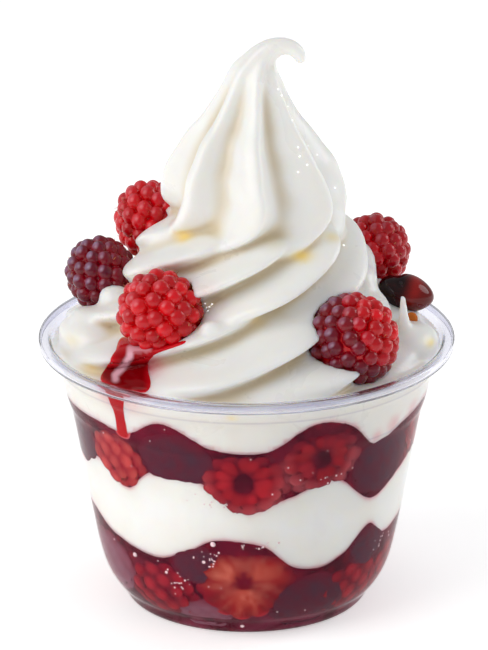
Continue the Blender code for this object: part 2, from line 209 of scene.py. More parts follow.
# On a berry of radius 1: how far its beads reach, their usual radius times the square root of their number,
# how their sizes vary and how far each one is out of place. Each berry is a little larger than its radius.
BEAD_REACH = 0.985
BEAD_SIZE = 1.76
BEAD_SIZES = (0.93, 1.08)
BEAD_JITTER = 0.05
BERRY_GROWTH = 1.015
CHERRY_PLACE = (37.4, 3.0, 8.8)
CHERRY_RADII = (6.8, 5.2, 4.3)
CHERRY_TILT = (8, 14, 0)
# How much smaller the beds in the cream are than the berries and the cherry.
BERRY_BED = 0.955
CHERRY_BED = 0.95

# Fruit pressed against the wall: angle, height, radius, kind and turn.
LOWER_FRUIT = [
    (-155, 15.0, 9.8, "haze", 20), (-126, 12.4, 10.0, "raspberry", 70), (-109, 20.6, 6.5, "dark", 10),
    (-91, 16.4, 11.6, "cut", 0), (-64, 10.6, 10.0, "dark", 40), (-43, 11.6, 10.0, "raspberry", 100),
    (-38, 21.0, 6.5, "dark", 0), (-17, 12.0, 10.0, "raspberry", 30), (11, 17.0, 10.0, "haze", 200),
    (35, 10.5, 9.5, "raspberry", 250), (62, 15.0, 10.5, "hollow", 10), (88, 10.5, 9.5, "dark", 80),
    (112, 17.0, 10.0, "raspberry", 130), (137, 11.0, 9.5, "dark", 160), (162, 15.5, 10.5, "cut", 20),
    (-178, 9.0, 8.0, "raspberry", 300), (-108, 7.0, 6.5, "haze", 60),
]
UPPER_FRUIT = [
    (-161, 44.6, 8.5, "dark", 30), (-139, 45.0, 9.8, "pale", 60), (-114, 48.6, 9.6, "dark", 100),
    (-91, 43.0, 10.8, "hollow", 0), (-65, 48.0, 10.4, "hollow_side", 20), (-38, 43.6, 10.6, "dark", 250),
    (-12, 46.0, 9.8, "raspberry", 10), (14, 43.5, 9.4, "dark", 300), (42, 47.5, 10.2, "hollow", 40),
    (70, 43.0, 9.6, "raspberry", 90), (98, 48.0, 9.8, "dark", 150), (126, 43.5, 9.6, "cut", 220),
    (154, 47.5, 9.6, "raspberry", 320), (179, 45.0, 8.6, "raspberry", 20),
]
# Rings of long beads round a berry's hollow: how many, where the ring lies and how long they are, in radians.
BEAD_RINGS = [
    (11, 0.52, 0.29), (13, 0.98, 0.27), (15, 1.40, 0.25), (14, 1.80, 0.24), (11, 2.20, 0.25), (7, 2.62, 0.27),
]
# Round a hollow the skin under the beads has this radius, and the beads swell by so much.
RING_SKIN = 0.87
RING_SWELL = 0.15
PRESSED_BEADS = 52
# Share of its triangles that a pressed berry keeps.
PRESSED_DETAIL = 0.5
# A pressed berry's radii towards the wall, along it and up, and how far in its middle lies, as shares of its
# radius.
PRESSED_SHAPE = (0.62, 1.0, 0.92)
PRESSED_INSET = 0.40
# How softly it gives way at the wall, how low it may reach, and how far above the layer.
PRESSED_EASE = 0.25
PRESSED_LOWEST = 2.2
PRESSED_OVER = 3
HOLLOW_KINDS = ("hollow", "hollow_side")
# How dark each kind of pressed fruit is.
DARKNESS = {
    "dark": 0.95, "haze": 0.9, "raspberry": 0.1, "pale": 0.0, "hollow": 0.0, "hollow_side": 0.15, "cut": 0.0,
}
# How far fruit reaches into the plastic, how deep in the juice it is seen, and how soon and how far juice
# veils it.
FRUIT_REACH = 0.40
SEEN_DEPTH = 1.7
VEIL_DEPTH = 0.95
VEIL = 0.92
# The cut berry's hollow in radians from its middle, the wedges of flesh round it and the threads in them.
CUT_HOLLOW = 0.27
CUT_EDGE = 1.30
CUT_WEDGES = 13
CUT_THREADS = 17
# The open berry's hollow: its width and the width of its edge in radians, and the radius of its floor.
HEART_WIDTH = 0.25
HEART_EDGE = 0.12
HEART_FLOOR = 0.45

# The pool of syrup as seen from the front: level, left edge and right edge.
SYRUP_POOL = [
    (64.2, -29.6, -14.0), (63.2, -30.2, -12.6), (61.9, -30.6, -14.5), (60.6, -30.6, -18.6),
    (59.4, -31.4, -21.6), (57.5, -32.2, -22.6), (55.7, -33.4, -22.4), (53.9, -34.4, -21.8),
    (52.4, -33.4, -21.6), (51.0, -30.0, -22.2), (50.2, -27.8, -23.6),
]
POOL_ROWS, POOL_COLUMNS = 60, 44
SYRUP_DEPTH = 1.3
# From this level up the syrup is painted less deep and so brighter, over this height: painted light where the
# raspberry's shade falls.
SYRUP_BRIGHT = (58.5, 3.0)
# The painted highlight streak in the pool, a pale pink reflection of a light painted into its colour, as seen
# from the front: across and level, and half its width.
HIGHLIGHT_STREAK = [(-22.6, 61.3), (-26.8, 61.2), (-26.9, 59.2), (-28.2, 56.9), (-30.4, 54.6), (-30.3, 53.6)]
HIGHLIGHT_STREAK_WIDTH = 0.75
# The run of syrup between the cream and the wall: height, left and right edge.
SYRUP_RUN = [
    (64.0, -138.0, -125.0), (62.0, -137.6, -125.6), (60.0, -136.8, -126.8), (58.0, -136.4, -128.2),
    (56.0, -136.0, -128.8), (54.0, -136.2, -128.6), (52.0, -136.4, -128.8), (50.2, -134.6, -130.4),
]
RUN_ROWS, RUN_COLUMNS = 60, 24
# A dab of caramel below the cherry as seen from the front: place across, level and radii.
CARAMEL_DAB = (38.6, 68.4, (1.5, 1.0, 1.7))
# Large bubbles in the juice: angle, height and radius.
BIG_BUBBLES = [
    (-102.2, 26.0, 0.7), (-137.0, 18.7, 0.65), (-92.0, 2.6, 0.55), (-106, 21.0, 0.5), (-122, 16.5, 0.45),
]
# Clusters of small bubbles: angle, height, spread in degrees and millimetres, and how many.
BUBBLE_CLUSTERS = [
    (-103, 22, 6, 4, 20), (-117, 14.5, 7, 3, 16), (-84, 25.4, 10, 1.0, 12), (-60, 42.5, 10, 2, 8),
    (-101, 37.6, 9, 2, 8), (-30, 20, 6, 4, 10), (60, 22, 9, 3, 10), (150, 20, 9, 3, 10),
]
LOOSE_BUBBLES = 70
BUBBLE_REACH = 0.46
CLUSTER_RADII = (0.12, 0.3)
LOOSE_RADII = (0.12, 0.26)

# The camera looks down by this angle, in radians, from this far away, in metres.
CAMERA_PITCH = math.radians(20)
CAMERA_AWAY = 1.5
# Lines of sight start this far in front of the plane through the axis, in metres.
SIGHT_START = 0.3
CAMERA_SENSOR = 36
CAMERA_LENS = 353.5
CAMERA_SIGHT = 20
CAMERA_SHIFT = (-0.004, 0.0108)
# Lights: place and size in metres and colour. They aim at a place a little above the rim.
LIGHTS = {
    "key_light": ((-1.00, -0.60, 0.95), 1.3, (1.0, 0.985, 0.96)),
    "side_light": ((0.75, 0.25, 0.45), 0.5, (0.96, 0.98, 1.0)),
}
LIGHT_AIM = (0, 0, 0.07)
FLOOR_SIZE = 6.0
SKY_TINT = (0.98, 0.985, 1.0)

# Tints of the plastic: the second one of the wall and of the lip, whose lavender is partly the thicker
# plastic's own tint and partly painted reflection, the painted dark lines at the ledges, and the light that
# passes.
WALL_TINT = (0.95, 0.95, 0.97)
LIP_TINT_AND_REFLECTION = (0.78, 0.78, 0.88)
LEDGE_SHADE_LINE = (0.62, 0.60, 0.70)
PASSING_TINT = (0.96, 0.96, 0.97)
WALL_BEND = 1.13
LIP_BEND = 1.45
# How shiny each cream is, and its coat.
CREAM_SHINE = {"cream": (0.5, 0.12), "layer_cream": (0.15, 0.0)}
# Each berry skin's roughness, coat, shine and how much light soaks into it.
BERRY_SHINE = {
    "raspberry": (0.20, 0.45, 0.15, 0.3), "dark_berry": (0.20, 0.5, 0.12, 0.2),
    "stewed_berries": (0.3, 0.0, 0.05, 0.15),
}
# Two pale colours of the bubbles and the drops, which are painted reflection, and the strength of their
# painted glow.
BEAD_REFLECTION_TINTS = {
    "bubbles": ((0.75, 0.46, 0.50), (0.90, 0.76, 0.78), 0.1),
    "drops": ((0.95, 0.94, 0.90), (1.0, 1.0, 0.98), 0.8),
}
HAIR_TINTS = ((0.42, 0.03, 0.01), (0.62, 0.24, 0.06))
# Mottling of the berries, pulp and lighter purple blotches low in the juice, and parts of the berries in the
# layers, among them a painted highlight on bead tips.
MOTTLE_RED = (0.30, 0.0, 0.01)
PULP_RED = (0.34, 0.012, 0.03)
LOW_BLOTCH_RED = (0.20, 0.035, 0.07)
PALE_BERRY = (0.62, 0.085, 0.075)
BERRY_CORE = (0.16, 0.001, 0.008)
FLESH_EDGE = (0.34, 0.012, 0.02)
TIP_HIGHLIGHT = (0.72, 0.22, 0.24)


# Sizes and colours that can be changed in the sidebar.

def size_of(label, about, default):
    return bpy.props.FloatProperty(name=label, description=about, default=default, unit="LENGTH", precision=5)


def power(label, about, default):
    return bpy.props.FloatProperty(name=label, description=about, default=default, unit="POWER", min=0)


def amount(label, about, default):
    return bpy.props.FloatProperty(
        name=label, description=about, default=default, subtype="FACTOR", min=0, max=1
    )


def colour(label, about, default):
    return bpy.props.FloatVectorProperty(
        name=label, description=about, default=default, subtype="COLOR", size=3, min=0, max=1
    )


def count(label, about, default):
    return bpy.props.IntProperty(name=label, description=about, default=default, min=3)


class CupSettings(bpy.types.PropertyGroup):
    wall: size_of("Wall", "Thickness of the plastic", 0.6 * MM)
    steps: count("Steps", "Facets round the cup", 160)
    tint: colour("Tint", "Colour of the clear plastic", (0.97, 0.97, 0.98))
    # The lip's lavender is partly the thicker plastic's own tint and partly painted reflection.
    lip: colour("Lip", "Colour of the thicker plastic of the lip", (0.86, 0.86, 0.93))


class CreamSettings(bpy.types.PropertyGroup):
    voxel: size_of("Detail", "Size of the cells that melt the dollops together", 0.5 * MM)
    white: colour("Cream", "Colour of the cream in the light", (0.90, 0.90, 0.873))
    # The groove colour is painted shade: darker and warmer deep in the grooves and behind the plastic.
    hollow: colour("Grooves", "Colour of the cream deep in the grooves", (0.74, 0.63, 0.44))
    # Colour of the yellow spots in the folds of the cream.
    yellow_tint: colour("Custard", "Colour of the thin yellow pools in the folds", (0.95, 0.73, 0.24))
    stain: colour("Stain", "Colour of the juice that bleeds into the cream", (0.72, 0.05, 0.13))


class FruitSettings(bpy.types.PropertyGroup):
    drupelets: count("Drupelets", "Small beads on the front raspberry; the other berries follow", 80)
    # Colours of the painted highlight on the red and on the dark beads.
    bloom: colour("Raspberry bloom", "Colour of the soft bloom on the red beads", (0.74, 0.12, 0.15))
    dark_highlight: colour("Dark bloom", "Colour of the soft bloom on the dark beads", (0.35, 0.25, 0.39))
    stewed: colour("Stewed berry", "Colour of the red beads in the layers", (0.50, 0.017, 0.030))
    # Painted shade: the darker colour between the pressed red beads, which shows their relief.
    stewed_valley_shade: colour("Stewed valleys", "Colour between the red beads in the layers", (0.11, 0.0005, 0.006))
    stewed_dark: colour("Stewed dark berry", "Colour of the dark fruit in the layers", (0.070, 0.026, 0.046))
    # The hazy berry's pale pink is partly fruit seen through the juice and partly painted reflection.
    stewed_haze_and_reflection: colour("Hazy berry", "Colour of the fruit that shows only as a haze", (0.34, 0.135, 0.19))
    red: colour("Raspberry", "Colour of the red beads", (0.62, 0.004, 0.011))
    # The valley colours are a painted glow: brighter red where light would shine through between the beads.
    red_valley_glow: colour("Raspberry valleys", "Colour between the red beads", (0.66, 0.0, 0.002))
    purple: colour("Dark berry", "Colour of the dark beads", (0.085, 0.003, 0.016))
    purple_valley_glow: colour("Dark valleys", "Colour between the dark beads", (0.22, 0.0, 0.008))
    flesh: colour("Flesh", "Colour of the cut berry's flesh", (0.38, 0.014, 0.012))
    pale_flesh: colour("Pale flesh", "Colour of the cut berry's flesh near its hollow", (0.64, 0.15, 0.10))
    cherry: colour("Cherry", "Colour of the glossy cherry", (0.010, 0.0005, 0.001))
    cherry_glow: colour("Cherry glow", "Colour of the cherry where light passes", (0.28, 0.010, 0.008))


class SyrupSettings(bpy.types.PropertyGroup):
    thick: colour("Thick syrup", "Colour of the syrup where it is deep", (0.20, 0.0, 0.002))
    thin: colour("Thin syrup", "Colour of the syrup at its thin edges", (0.74, 0.006, 0.014))
    juice: colour("Juice", "Colour of the juice between the fruit", (0.16, 0.004, 0.022))
    dark_juice: colour("Dark juice", "Colour of the juice in the shade", (0.065, 0.002, 0.012))
    caramel: colour("Caramel", "Colour of the syrup dab by the cherry", (0.55, 0.14, 0.02))
    # In the pool this colour is a painted highlight; on the run it is the cream showing through the thin
    # syrup at its edges.
    milk_and_highlight: colour("Milky streak", "Colour of the cream that has run into the syrup", (0.80, 0.44, 0.52))


class StageSettings(bpy.types.PropertyGroup):
    floor: colour("Floor", "Colour of the floor", (0.93, 0.93, 0.93))
    sky: amount("Sky light", "Strength of the even light", 0.45)
    key: power("Key light", "Power of the main light", 10.4)
    rim: power("Side light", "Power of the side light", 2.0)
    glow: amount("Floor glow", "Light that comes up through the floor", 0.46)


SETTINGS = {
    "cup": CupSettings, "cream": CreamSettings, "fruit": FruitSettings, "syrup": SyrupSettings,
    "stage": StageSettings,
}


def settings(name):
    return getattr(bpy.context.scene, "sundae_" + name)


# Shader maths: a Reading is a number or colour that comes out of a node.

class Reading:
    def __init__(self, finish, socket):
        self.finish = finish
        self.socket = socket

    def maths(self, operation, *values):
        return self.finish.node("ShaderNodeMath", {"operation": operation}, dict(enumerate(values)))

    def __add__(self, other):
        return self.maths("ADD", self, other)

    def __sub__(self, other):
        return self.maths("SUBTRACT", self, other)

    def __rsub__(self, other):
        return self.maths("SUBTRACT", other, self)

    def __mul__(self, other):
        return self.maths("MULTIPLY", self, other)

    __radd__ = __add__
    __rmul__ = __mul__

    def held(self):
        """No less than 0 and no more than 1."""
        return self.finish.node("ShaderNodeClamp", {}, {"Value": self})

    def band(self, low, high):
        """0 below low, 1 above high, smooth between."""
        values = {"Value": self, "From Min": low, "From Max": high}
        return self.finish.node("ShaderNodeMapRange", {"interpolation_type": "SMOOTHSTEP"}, values)


class Finish:
    """A material, with one method that adds any node."""

    def __init__(self, name):
        self.material = bpy.data.materials.new(name)
        self.material.use_nodes = True
        self.tree = self.material.node_tree
        self.tree.nodes.clear()

    def node(self, kind, options=None, values=None, out=0):
        made = self.tree.nodes.new(kind)
        for key, option in (options or {}).items():
            setattr(made, key, option)
        for key, value in (values or {}).items():
            if isinstance(value, Reading):
                self.tree.links.new(value.socket, made.inputs[key])
            else:
                made.inputs[key].default_value = value
        return Reading(self, made.outputs[out])

    def place(self):
        return self.node("ShaderNodeTexCoord", out="Object")

    def height(self):
        return self.node("ShaderNodeSeparateXYZ", {}, {"Vector": self.place()}, out=2)

    def noise(self, scale, detail, roughness=0.55, distortion=0.0):
        values = {
            "Vector": self.place(), "Scale": scale, "Detail": detail, "Roughness": roughness,
            "Distortion": distortion,
        }
        return self.node("ShaderNodeTexNoise", {}, values)

    def cells(self, scale):
        return self.node("ShaderNodeTexVoronoi", {}, {"Vector": self.place(), "Scale": scale})

    def read(self, attribute, out="Fac"):
        return self.node("ShaderNodeAttribute", {"attribute_name": attribute}, out=out)

    def mix(self, share, first, second):
        """A colour between two colours."""
        values = {0: share, 6: solid(first), 7: solid(second)}
        return self.node("ShaderNodeMix", {"data_type": "RGBA"}, values, out=2)

    def bump(self, height, strength, distance):
        values = {"Height": height, "Strength": strength, "Distance": distance}
        return self.node("ShaderNodeBump", {}, values)

    def shader(self, values):
        return self.node("ShaderNodeBsdfPrincipled", {}, values)

    def done(self, surface):
        output = self.tree.nodes.new("ShaderNodeOutputMaterial")
        self.tree.links.new(surface.socket, output.inputs["Surface"])
        return self.material


def solid(tint):
    """A colour with full alpha, or the reading as it is."""
    return tint if isinstance(tint, Reading) else (*tint, 1.0)


def clear_plastic(name, bend, pale, deep):
    """Clear plastic. bend is its refraction; pale and deep are its two tints."""
    finish = Finish(name)
    haze = finish.noise(60, 4)
    height = finish.height()
    body = finish.mix(haze.band(0.35, 0.75), pale, deep)
    # Painted shade: thin dark lines at the ledges, which stand in for the light that the bent plastic turns
    # aside.
    for ledge in LEDGE_HEIGHTS:
        off = (height - ledge * MM) * (1 / (LEDGE_WIDTH * MM))
        body = finish.mix((1 - off * off).held() * 0.75, body, LEDGE_SHADE_LINE)
    surface = finish.shader({
        "Base Color": body, "Roughness": haze.band(0.4, 0.8) * 0.02 + 0.005, "IOR": bend,
        "Transmission Weight": 1.0, "Normal": finish.bump(finish.noise(18, 2), 0.03, 0.001),
    })
    shadow = finish.node("ShaderNodeLightPath", out="Is Shadow Ray")
    passing = finish.node("ShaderNodeBsdfTransparent", {}, {"Color": solid(PASSING_TINT)})
    return finish.done(finish.node("ShaderNodeMixShader", {}, {0: shadow, 1: surface, 2: passing}))


def cream_finish(name):
    finish = Finish(name)
    cream = settings("cream")
    shine, coat = CREAM_SHINE[name]
    # Painted shade: the groove colour where the cream lies deep in a groove or behind the plastic.
    shade = (finish.read("hollow") + (finish.noise(140, 3) - 0.5) * 0.25).held()
    body = finish.mix(shade, cream.white, cream.hollow)
    body = finish.mix(finish.read("yellow_tint"), body, cream.yellow_tint)
    stain = finish.read("stain")
    seep = (stain + (finish.noise(420, 4) - 0.5) * stain * 1.2).held()
    body = finish.mix(seep, body, cream.stain)
    streak = finish.noise(55, 4, 0.6, 0.8)
    relief = streak * 0.5 + finish.cells(700).band(0.0, 0.35) * 0.25
    return finish.done(finish.shader({
        "Base Color": body, "Roughness": streak.band(0.3, 0.75) * 0.16 + 0.26,
        "Subsurface Weight": 0.75, "Subsurface Radius": (1.0, 0.82, 0.6), "Subsurface Scale": 0.0035,
        "Specular IOR Level": shine, "Coat Weight": coat, "Coat Roughness": 0.18,
        "Normal": finish.bump(relief, 0.25, 0.0003),
    }))


def fruit_finish(name):
    finish = Finish(name)
    gloss, coat, shine, soak = BERRY_SHINE[name]
    skin = finish.read("skin", "Color")
    mottle = finish.noise(600, 3)
    body = finish.mix(mottle.band(0.35, 0.75) * 0.35, skin, finish.mix(0.5, skin, MOTTLE_RED))
    return finish.done(finish.shader({
        "Base Color": body, "Roughness": mottle * 0.12 + gloss,
        "Subsurface Weight": soak, "Subsurface Radius": (1.0, 0.08, 0.08), "Subsurface Scale": 0.0016,
        "Specular IOR Level": shine, "Coat Weight": coat, "Coat Roughness": 0.08,
        "Normal": finish.bump(finish.noise(1500, 2), 0.15, 0.0001),
    }))


def juice_finish():
    finish = Finish("juice")
    syrup = settings("syrup")
    cloud = finish.noise(95, 5, 0.6, 0.6)
    pulp = finish.cells(330)
    body = finish.mix(cloud.band(0.36, 0.66), syrup.dark_juice, syrup.juice)
    body = finish.mix(pulp.band(0.45, 0.05) * 0.35, body, PULP_RED)
    # Lighter purple blotches low in the juice.
    low = finish.height().band(0.010, 0.002)
    body = finish.mix(low * cloud.band(0.4, 0.65) * 0.7, body, LOW_BLOTCH_RED)
    return finish.done(finish.shader({
        "Base Color": body, "Roughness": cloud * 0.15 + 0.2, "Specular IOR Level": 0.05,
        "Normal": finish.bump(cloud + pulp * 0.5, 0.2, 0.0006),
    }))


def syrup_finish():
    finish = Finish("syrup")
    syrup = settings("syrup")
    ripple = finish.noise(220, 3)
    depth = (finish.read("depth") + (ripple - 0.5) * 0.3).held()
    body = finish.mix(depth, syrup.thin, syrup.thick)
    body = finish.mix(finish.read("caramel"), body, syrup.caramel)
    body = finish.mix(finish.read("milk_and_highlight"), body, syrup.milk_and_highlight)
    return finish.done(finish.shader({
        "Base Color": body, "Roughness": ripple * 0.06 + 0.05, "Specular IOR Level": 0.05,
        "Coat Weight": 0.1, "Coat Roughness": 0.03, "Normal": finish.bump(ripple, 0.05, 0.0004),
    }))


def cherry_finish():
    finish = Finish("cherry_glaze")
    fruit = settings("fruit")
    mottle = finish.noise(160, 4, 0.6)
    glow = (finish.read("glow") + (mottle - 0.5) * 0.5).held()
    return finish.done(finish.shader({
        "Base Color": finish.mix(glow, fruit.cherry, fruit.cherry_glow), "Roughness": mottle * 0.08 + 0.05,
        "Specular IOR Level": 0.06, "Coat Weight": 0.4, "Coat Roughness": 0.02,
        "Normal": finish.bump(mottle, 0.06, 0.0004),
    }))


def bead_finish(name):
    """Bubbles and drops: their pale colours are painted reflection, and they give off a little light of their
    own, a painted glow.
    """
    finish = Finish(name)
    first, second, painted_glow = BEAD_REFLECTION_TINTS[name]
    mottle = finish.noise(900, 2)
    body = finish.mix(mottle, first, second)
    return finish.done(finish.shader({
        "Base Color": body, "Roughness": mottle * 0.1 + 0.1, "Coat Weight": 0.6, "Emission Color": body,
        "Emission Strength": painted_glow,
    }))


def hair_finish():
    finish = Finish("berry_hairs")
    mottle = finish.noise(700, 2)
    body = finish.mix(mottle.band(0.35, 0.65), *HAIR_TINTS)
    return finish.done(finish.shader({"Base Color": body, "Roughness": mottle * 0.2 + 0.4}))


def floor_finish():
    finish = Finish("pale_floor")
    stage = settings("stage")
    grain = finish.noise(30, 3)
    body = finish.mix(grain * 0.2, stage.floor, [0.985 * part for part in stage.floor])
    return finish.done(finish.shader({
        "Base Color": body, "Roughness": grain * 0.1 + 0.6, "Specular IOR Level": 0.2,
        "Emission Color": (1.0, 1.0, 1.0, 1.0), "Emission Strength": stage.glow,
    }))


# Modelling helpers.

def begin(primitive, name, **options):
    """Adds a primitive alone in the selection and names it."""
    bpy.ops.object.select_all(action="DESELECT")
    primitive(**options)
    piece = bpy.context.active_object
    piece.name = name
    piece.data.name = name
    return piece


def ball(name, segments, rings):
    return begin(bpy.ops.mesh.primitive_uv_sphere_add, name, segments=segments, ring_count=rings, radius=1)


def even_ball(name, subdivisions, **options):
    return begin(bpy.ops.mesh.primitive_ico_sphere_add, name, subdivisions=subdivisions, **options)


def settle(piece):
    """Takes the piece's place, turn and scale into its mesh."""
    bpy.ops.object.select_all(action="DESELECT")
    piece.select_set(True)
    bpy.context.view_layer.objects.active = piece
    bpy.ops.object.transform_apply(location=True, rotation=True, scale=True)


def put(piece, place, turn=(0, 0, 0), scale=(1, 1, 1)):
    """Scales a piece, turns it by angles in radians, moves it and settles it."""
    piece.scale = scale
    piece.rotation_euler = turn
    piece.location = place
    settle(piece)
    return piece


def over_rim(x, y, height):
    return Vector((x, y, RIM_HEIGHT + height))


def vertex_data(piece, what):
    flat = np.empty(len(piece.data.vertices) * 3)
    piece.data.vertices.foreach_get(what, flat)
    return flat.reshape(-1, 3)


def points_of(piece):
    return vertex_data(piece, "co")


def directions_of(piece):
    """Which way each point of a ball lies from its middle."""
    points = points_of(piece)
    return points / np.linalg.norm(points, axis=1)[:, None]


def move_points(piece, points):
    piece.data.vertices.foreach_set("co", np.ascontiguousarray(points).ravel())
    piece.data.update()


def paint(piece, name, values):
    """Keeps a number or a colour for each point of the mesh. One number does for all points."""
    total = len(piece.data.vertices)
    if np.ndim(values) < 2:
        layer = piece.data.attributes.new(name, "FLOAT", "POINT")
        layer.data.foreach_set("value", np.full(total, values, float))
    else:
        layer = piece.data.attributes.new(name, "FLOAT_COLOR", "POINT")
        layer.data.foreach_set("color", np.column_stack([values, np.ones(total)]).ravel())


def tidy_mesh(piece):
    """Merges doubles and turns the faces outwards."""
    bpy.context.view_layer.objects.active = piece
    bpy.ops.object.mode_set(mode="EDIT")
    bpy.ops.mesh.select_all(action="SELECT")
    bpy.ops.mesh.remove_doubles(threshold=SEAM)
    bpy.ops.mesh.normals_make_consistent(inside=False)
    bpy.ops.object.mode_set(mode="OBJECT")


def apply_modifier(piece, kind, **options):
    bpy.context.view_layer.objects.active = piece
    modifier = piece.modifiers.new(kind.title(), kind)
    for key, option in options.items():
        setattr(modifier, key, option)
    bpy.ops.object.modifier_apply(modifier=modifier.name)


def wrapped(name, columns, rows, place):
    """A grid laid round a body: place(across, along), both from 0 to 1, gives each of its points."""
    piece = begin(bpy.ops.mesh.primitive_grid_add, name, x_subdivisions=columns, y_subdivisions=rows, size=1)
    grid = points_of(piece)
    move_points(piece, place(grid[:, 0] + 0.5, grid[:, 1] + 0.5))
    tidy_mesh(piece)
    return piece


def closed_sheet(name, rows, columns, lay):
    """A thin closed body. lay(across, along, upper) gives its upper face where upper is true, else its lower
    one."""

    def place(round_it, along):
        upper = round_it < 0.5
        return lay(np.where(upper, round_it * 2, 2 - round_it * 2), along, upper)

    return wrapped(name, 2 * columns + 1, rows, place)


def joined(pieces, name):
    bpy.ops.object.select_all(action="DESELECT")
    for piece in pieces:
        piece.select_set(True)
    bpy.context.view_layer.objects.active = pieces[0]
    bpy.ops.object.join()
    whole = bpy.context.active_object
    whole.name = name
    whole.data.name = name
    settle(whole)
    return whole


def hand_over(piece, finish, slot, *nodes):
    """Finishes a piece: smooth faces, its material, its body, and hides the solids that it stands for. slot
    is not used.
    """
    piece.data.shade_smooth()
    piece.data.materials.clear()
    piece.data.materials.append(finish)
    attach(piece, BODY)
    if nodes:
        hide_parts(*nodes)


def rounded(line):
    """Cuts the corners of a line twice, and keeps its ends."""
    for _ in range(2):
        cut = [line[0]]
        for (x0, y0), (x1, y1) in zip(line, line[1:]):
            cut.append((0.75 * x0 + 0.25 * x1, 0.75 * y0 + 0.25 * y1))
            cut.append((0.25 * x0 + 0.75 * x1, 0.25 * y0 + 0.75 * y1))
        line = cut + [line[-1]]
    return np.array(line)


INNER_LINE = rounded(FLOOR_LINE + WALL_LINE + RIM_LINE)


def rising_line():
    """The part of the inner face that only rises, with its points in the order of their heights."""
    radius, height = INNER_LINE.T
    line = INNER_LINE[(radius > RISING_FROM) & (radius < RISING_TO[0]) & (height < RISING_TO[1])]
    return line[np.argsort(line[:, 1])]


RISING_LINE = rising_line()


def wall_radius(heights):
    """Inside radius of the cup at these heights."""
    return np.interp(heights, RISING_LINE[:, 1], RISING_LINE[:, 0])


def wave(table, angles):
    """Heights of a border at these angles: a smooth wave through the table's points."""
    first = table[0][0]
    knots = np.array(table + [(first + 360, table[0][1])], float)
    turned = (np.asarray(angles) - first) % 360 + first
    index = np.clip(np.searchsorted(knots[:, 0], turned, side="right") - 1, 0, len(knots) - 2)
    span = knots[index + 1, 0] - knots[index, 0]
    share = (turned - knots[index, 0]) / span
    # The slope at each point is eased towards that of its neighbours, so that the wave has no corners.
    ring = knots[:-1]
    ahead = np.roll(ring, -1, axis=0)
    behind = np.roll(ring, 1, axis=0)
    slopes = 0.75 * (ahead[:, 1] - behind[:, 1]) / ((ahead[:, 0] - behind[:, 0]) % 360)
    start = slopes[index] * span
    end = slopes[(index + 1) % len(ring)] * span
    low, high = knots[index, 1], knots[index + 1, 1]
    square, cube = share**2, share**3
    return (
        low * (2 * cube - 3 * square + 1) + high * (3 * square - 2 * cube)
        + start * (cube - 2 * square + share) + end * (cube - square)
    )


def ragged(angles, seed, size):
    """A small unevenness round the cup that meets itself."""
    draw = random.Random(seed)
    turn = np.radians(angles)
    total = np.zeros_like(turn)
    for waves in (17, 23, 31, 41, 53, 67, 89, 113):
        total += draw.uniform(0.4, 1.0) * np.sin(waves * turn + draw.uniform(0, math.tau)) / math.sqrt(waves)
    return total * size


def smooth_rows(table, shares):
    """A smooth curve through the table's rows, at these shares of its length."""
    rows = np.array(table, float)
    spots = shares * (len(rows) - 1)
    index = np.clip(spots.astype(int), 0, len(rows) - 2)
    t = (spots - index)[:, None]
    before = rows[np.maximum(index - 1, 0)]
    start = rows[index]
    end = rows[index + 1]
    after = rows[np.minimum(index + 2, len(rows) - 1)]
    bend = 2 * before - 5 * start + 4 * end - after
    swing = 3 * start - 3 * end + after - before
    return start + 0.5 * t * (end - before + t * (bend + t * swing))


def smoothed(piece, values, passes):
    """Averages rows of values over neighbouring points, this many times."""
    edges = np.empty(len(piece.data.edges) * 2, int)
    piece.data.edges.foreach_get("vertices", edges)
    first, second = edges.reshape(-1, 2).T
    total = len(piece.data.vertices)
    share = 1 / np.maximum(np.bincount(edges, minlength=total), 1)
    for _ in range(passes):
        around = np.empty_like(values)
        for axis, column in enumerate(values.T):
            met = np.bincount(first, column[second], total) + np.bincount(second, column[first], total)
            around[:, axis] = met * share
        values = 0.4 * values + 0.6 * around
    return values


def surface_tree(piece):
    points = [Vector(point) for point in points_of(piece)]
    return BVHTree.FromPolygons(points, [tuple(face.vertices) for face in piece.data.polygons])


def seen_from_front(tree, across, level):
    """The first point of a surface on the line of sight to a place in the plane through the axis, or None."""
    sight = Vector((0, math.cos(CAMERA_PITCH), -math.sin(CAMERA_PITCH)))
    start = Vector((across, 0, level)) * MM - sight * SIGHT_START
    return tree.ray_cast(start, sight)[0]


def mixed(first, second, share):
    """Colours between two colours, by a share for each point."""
    share = np.asarray(share)[:, None]
    return np.asarray(first) * (1 - share) + np.asarray(second) * share


# The cup and its layers.

def make_cup():
    cup = settings("cup")

    def place(across, along):
        index = np.round(along * (len(INNER_LINE) - 1)).astype(int)
        radius, height = INNER_LINE[index].T * MM
        turn = across * math.tau
        return np.column_stack([radius * np.cos(turn), radius * np.sin(turn), height])

    piece = wrapped("cup_shell", cup.steps + 1, len(INNER_LINE), place)
    # The plastic grows away from the food, whichever way the faces look.
    middle = min(piece.data.polygons, key=lambda face: face.center.xy.length)
    side = 1 if middle.normal.z < 0 else -1
    apply_modifier(piece, "SOLIDIFY", thickness=cup.wall, offset=side, use_even_offset=True)
    tidy_mesh(piece)
    hand_over(piece, clear_plastic("clear_wall", WALL_BEND, cup.tint, WALL_TINT), "clear_plastic", "cup")
    piece.data.materials.append(clear_plastic("clear_lip", LIP_BEND, cup.lip, LIP_TINT_AND_REFLECTION))
    for face in piece.data.polygons:
        face.material_index = int(face.center.z > LIP_START * MM)


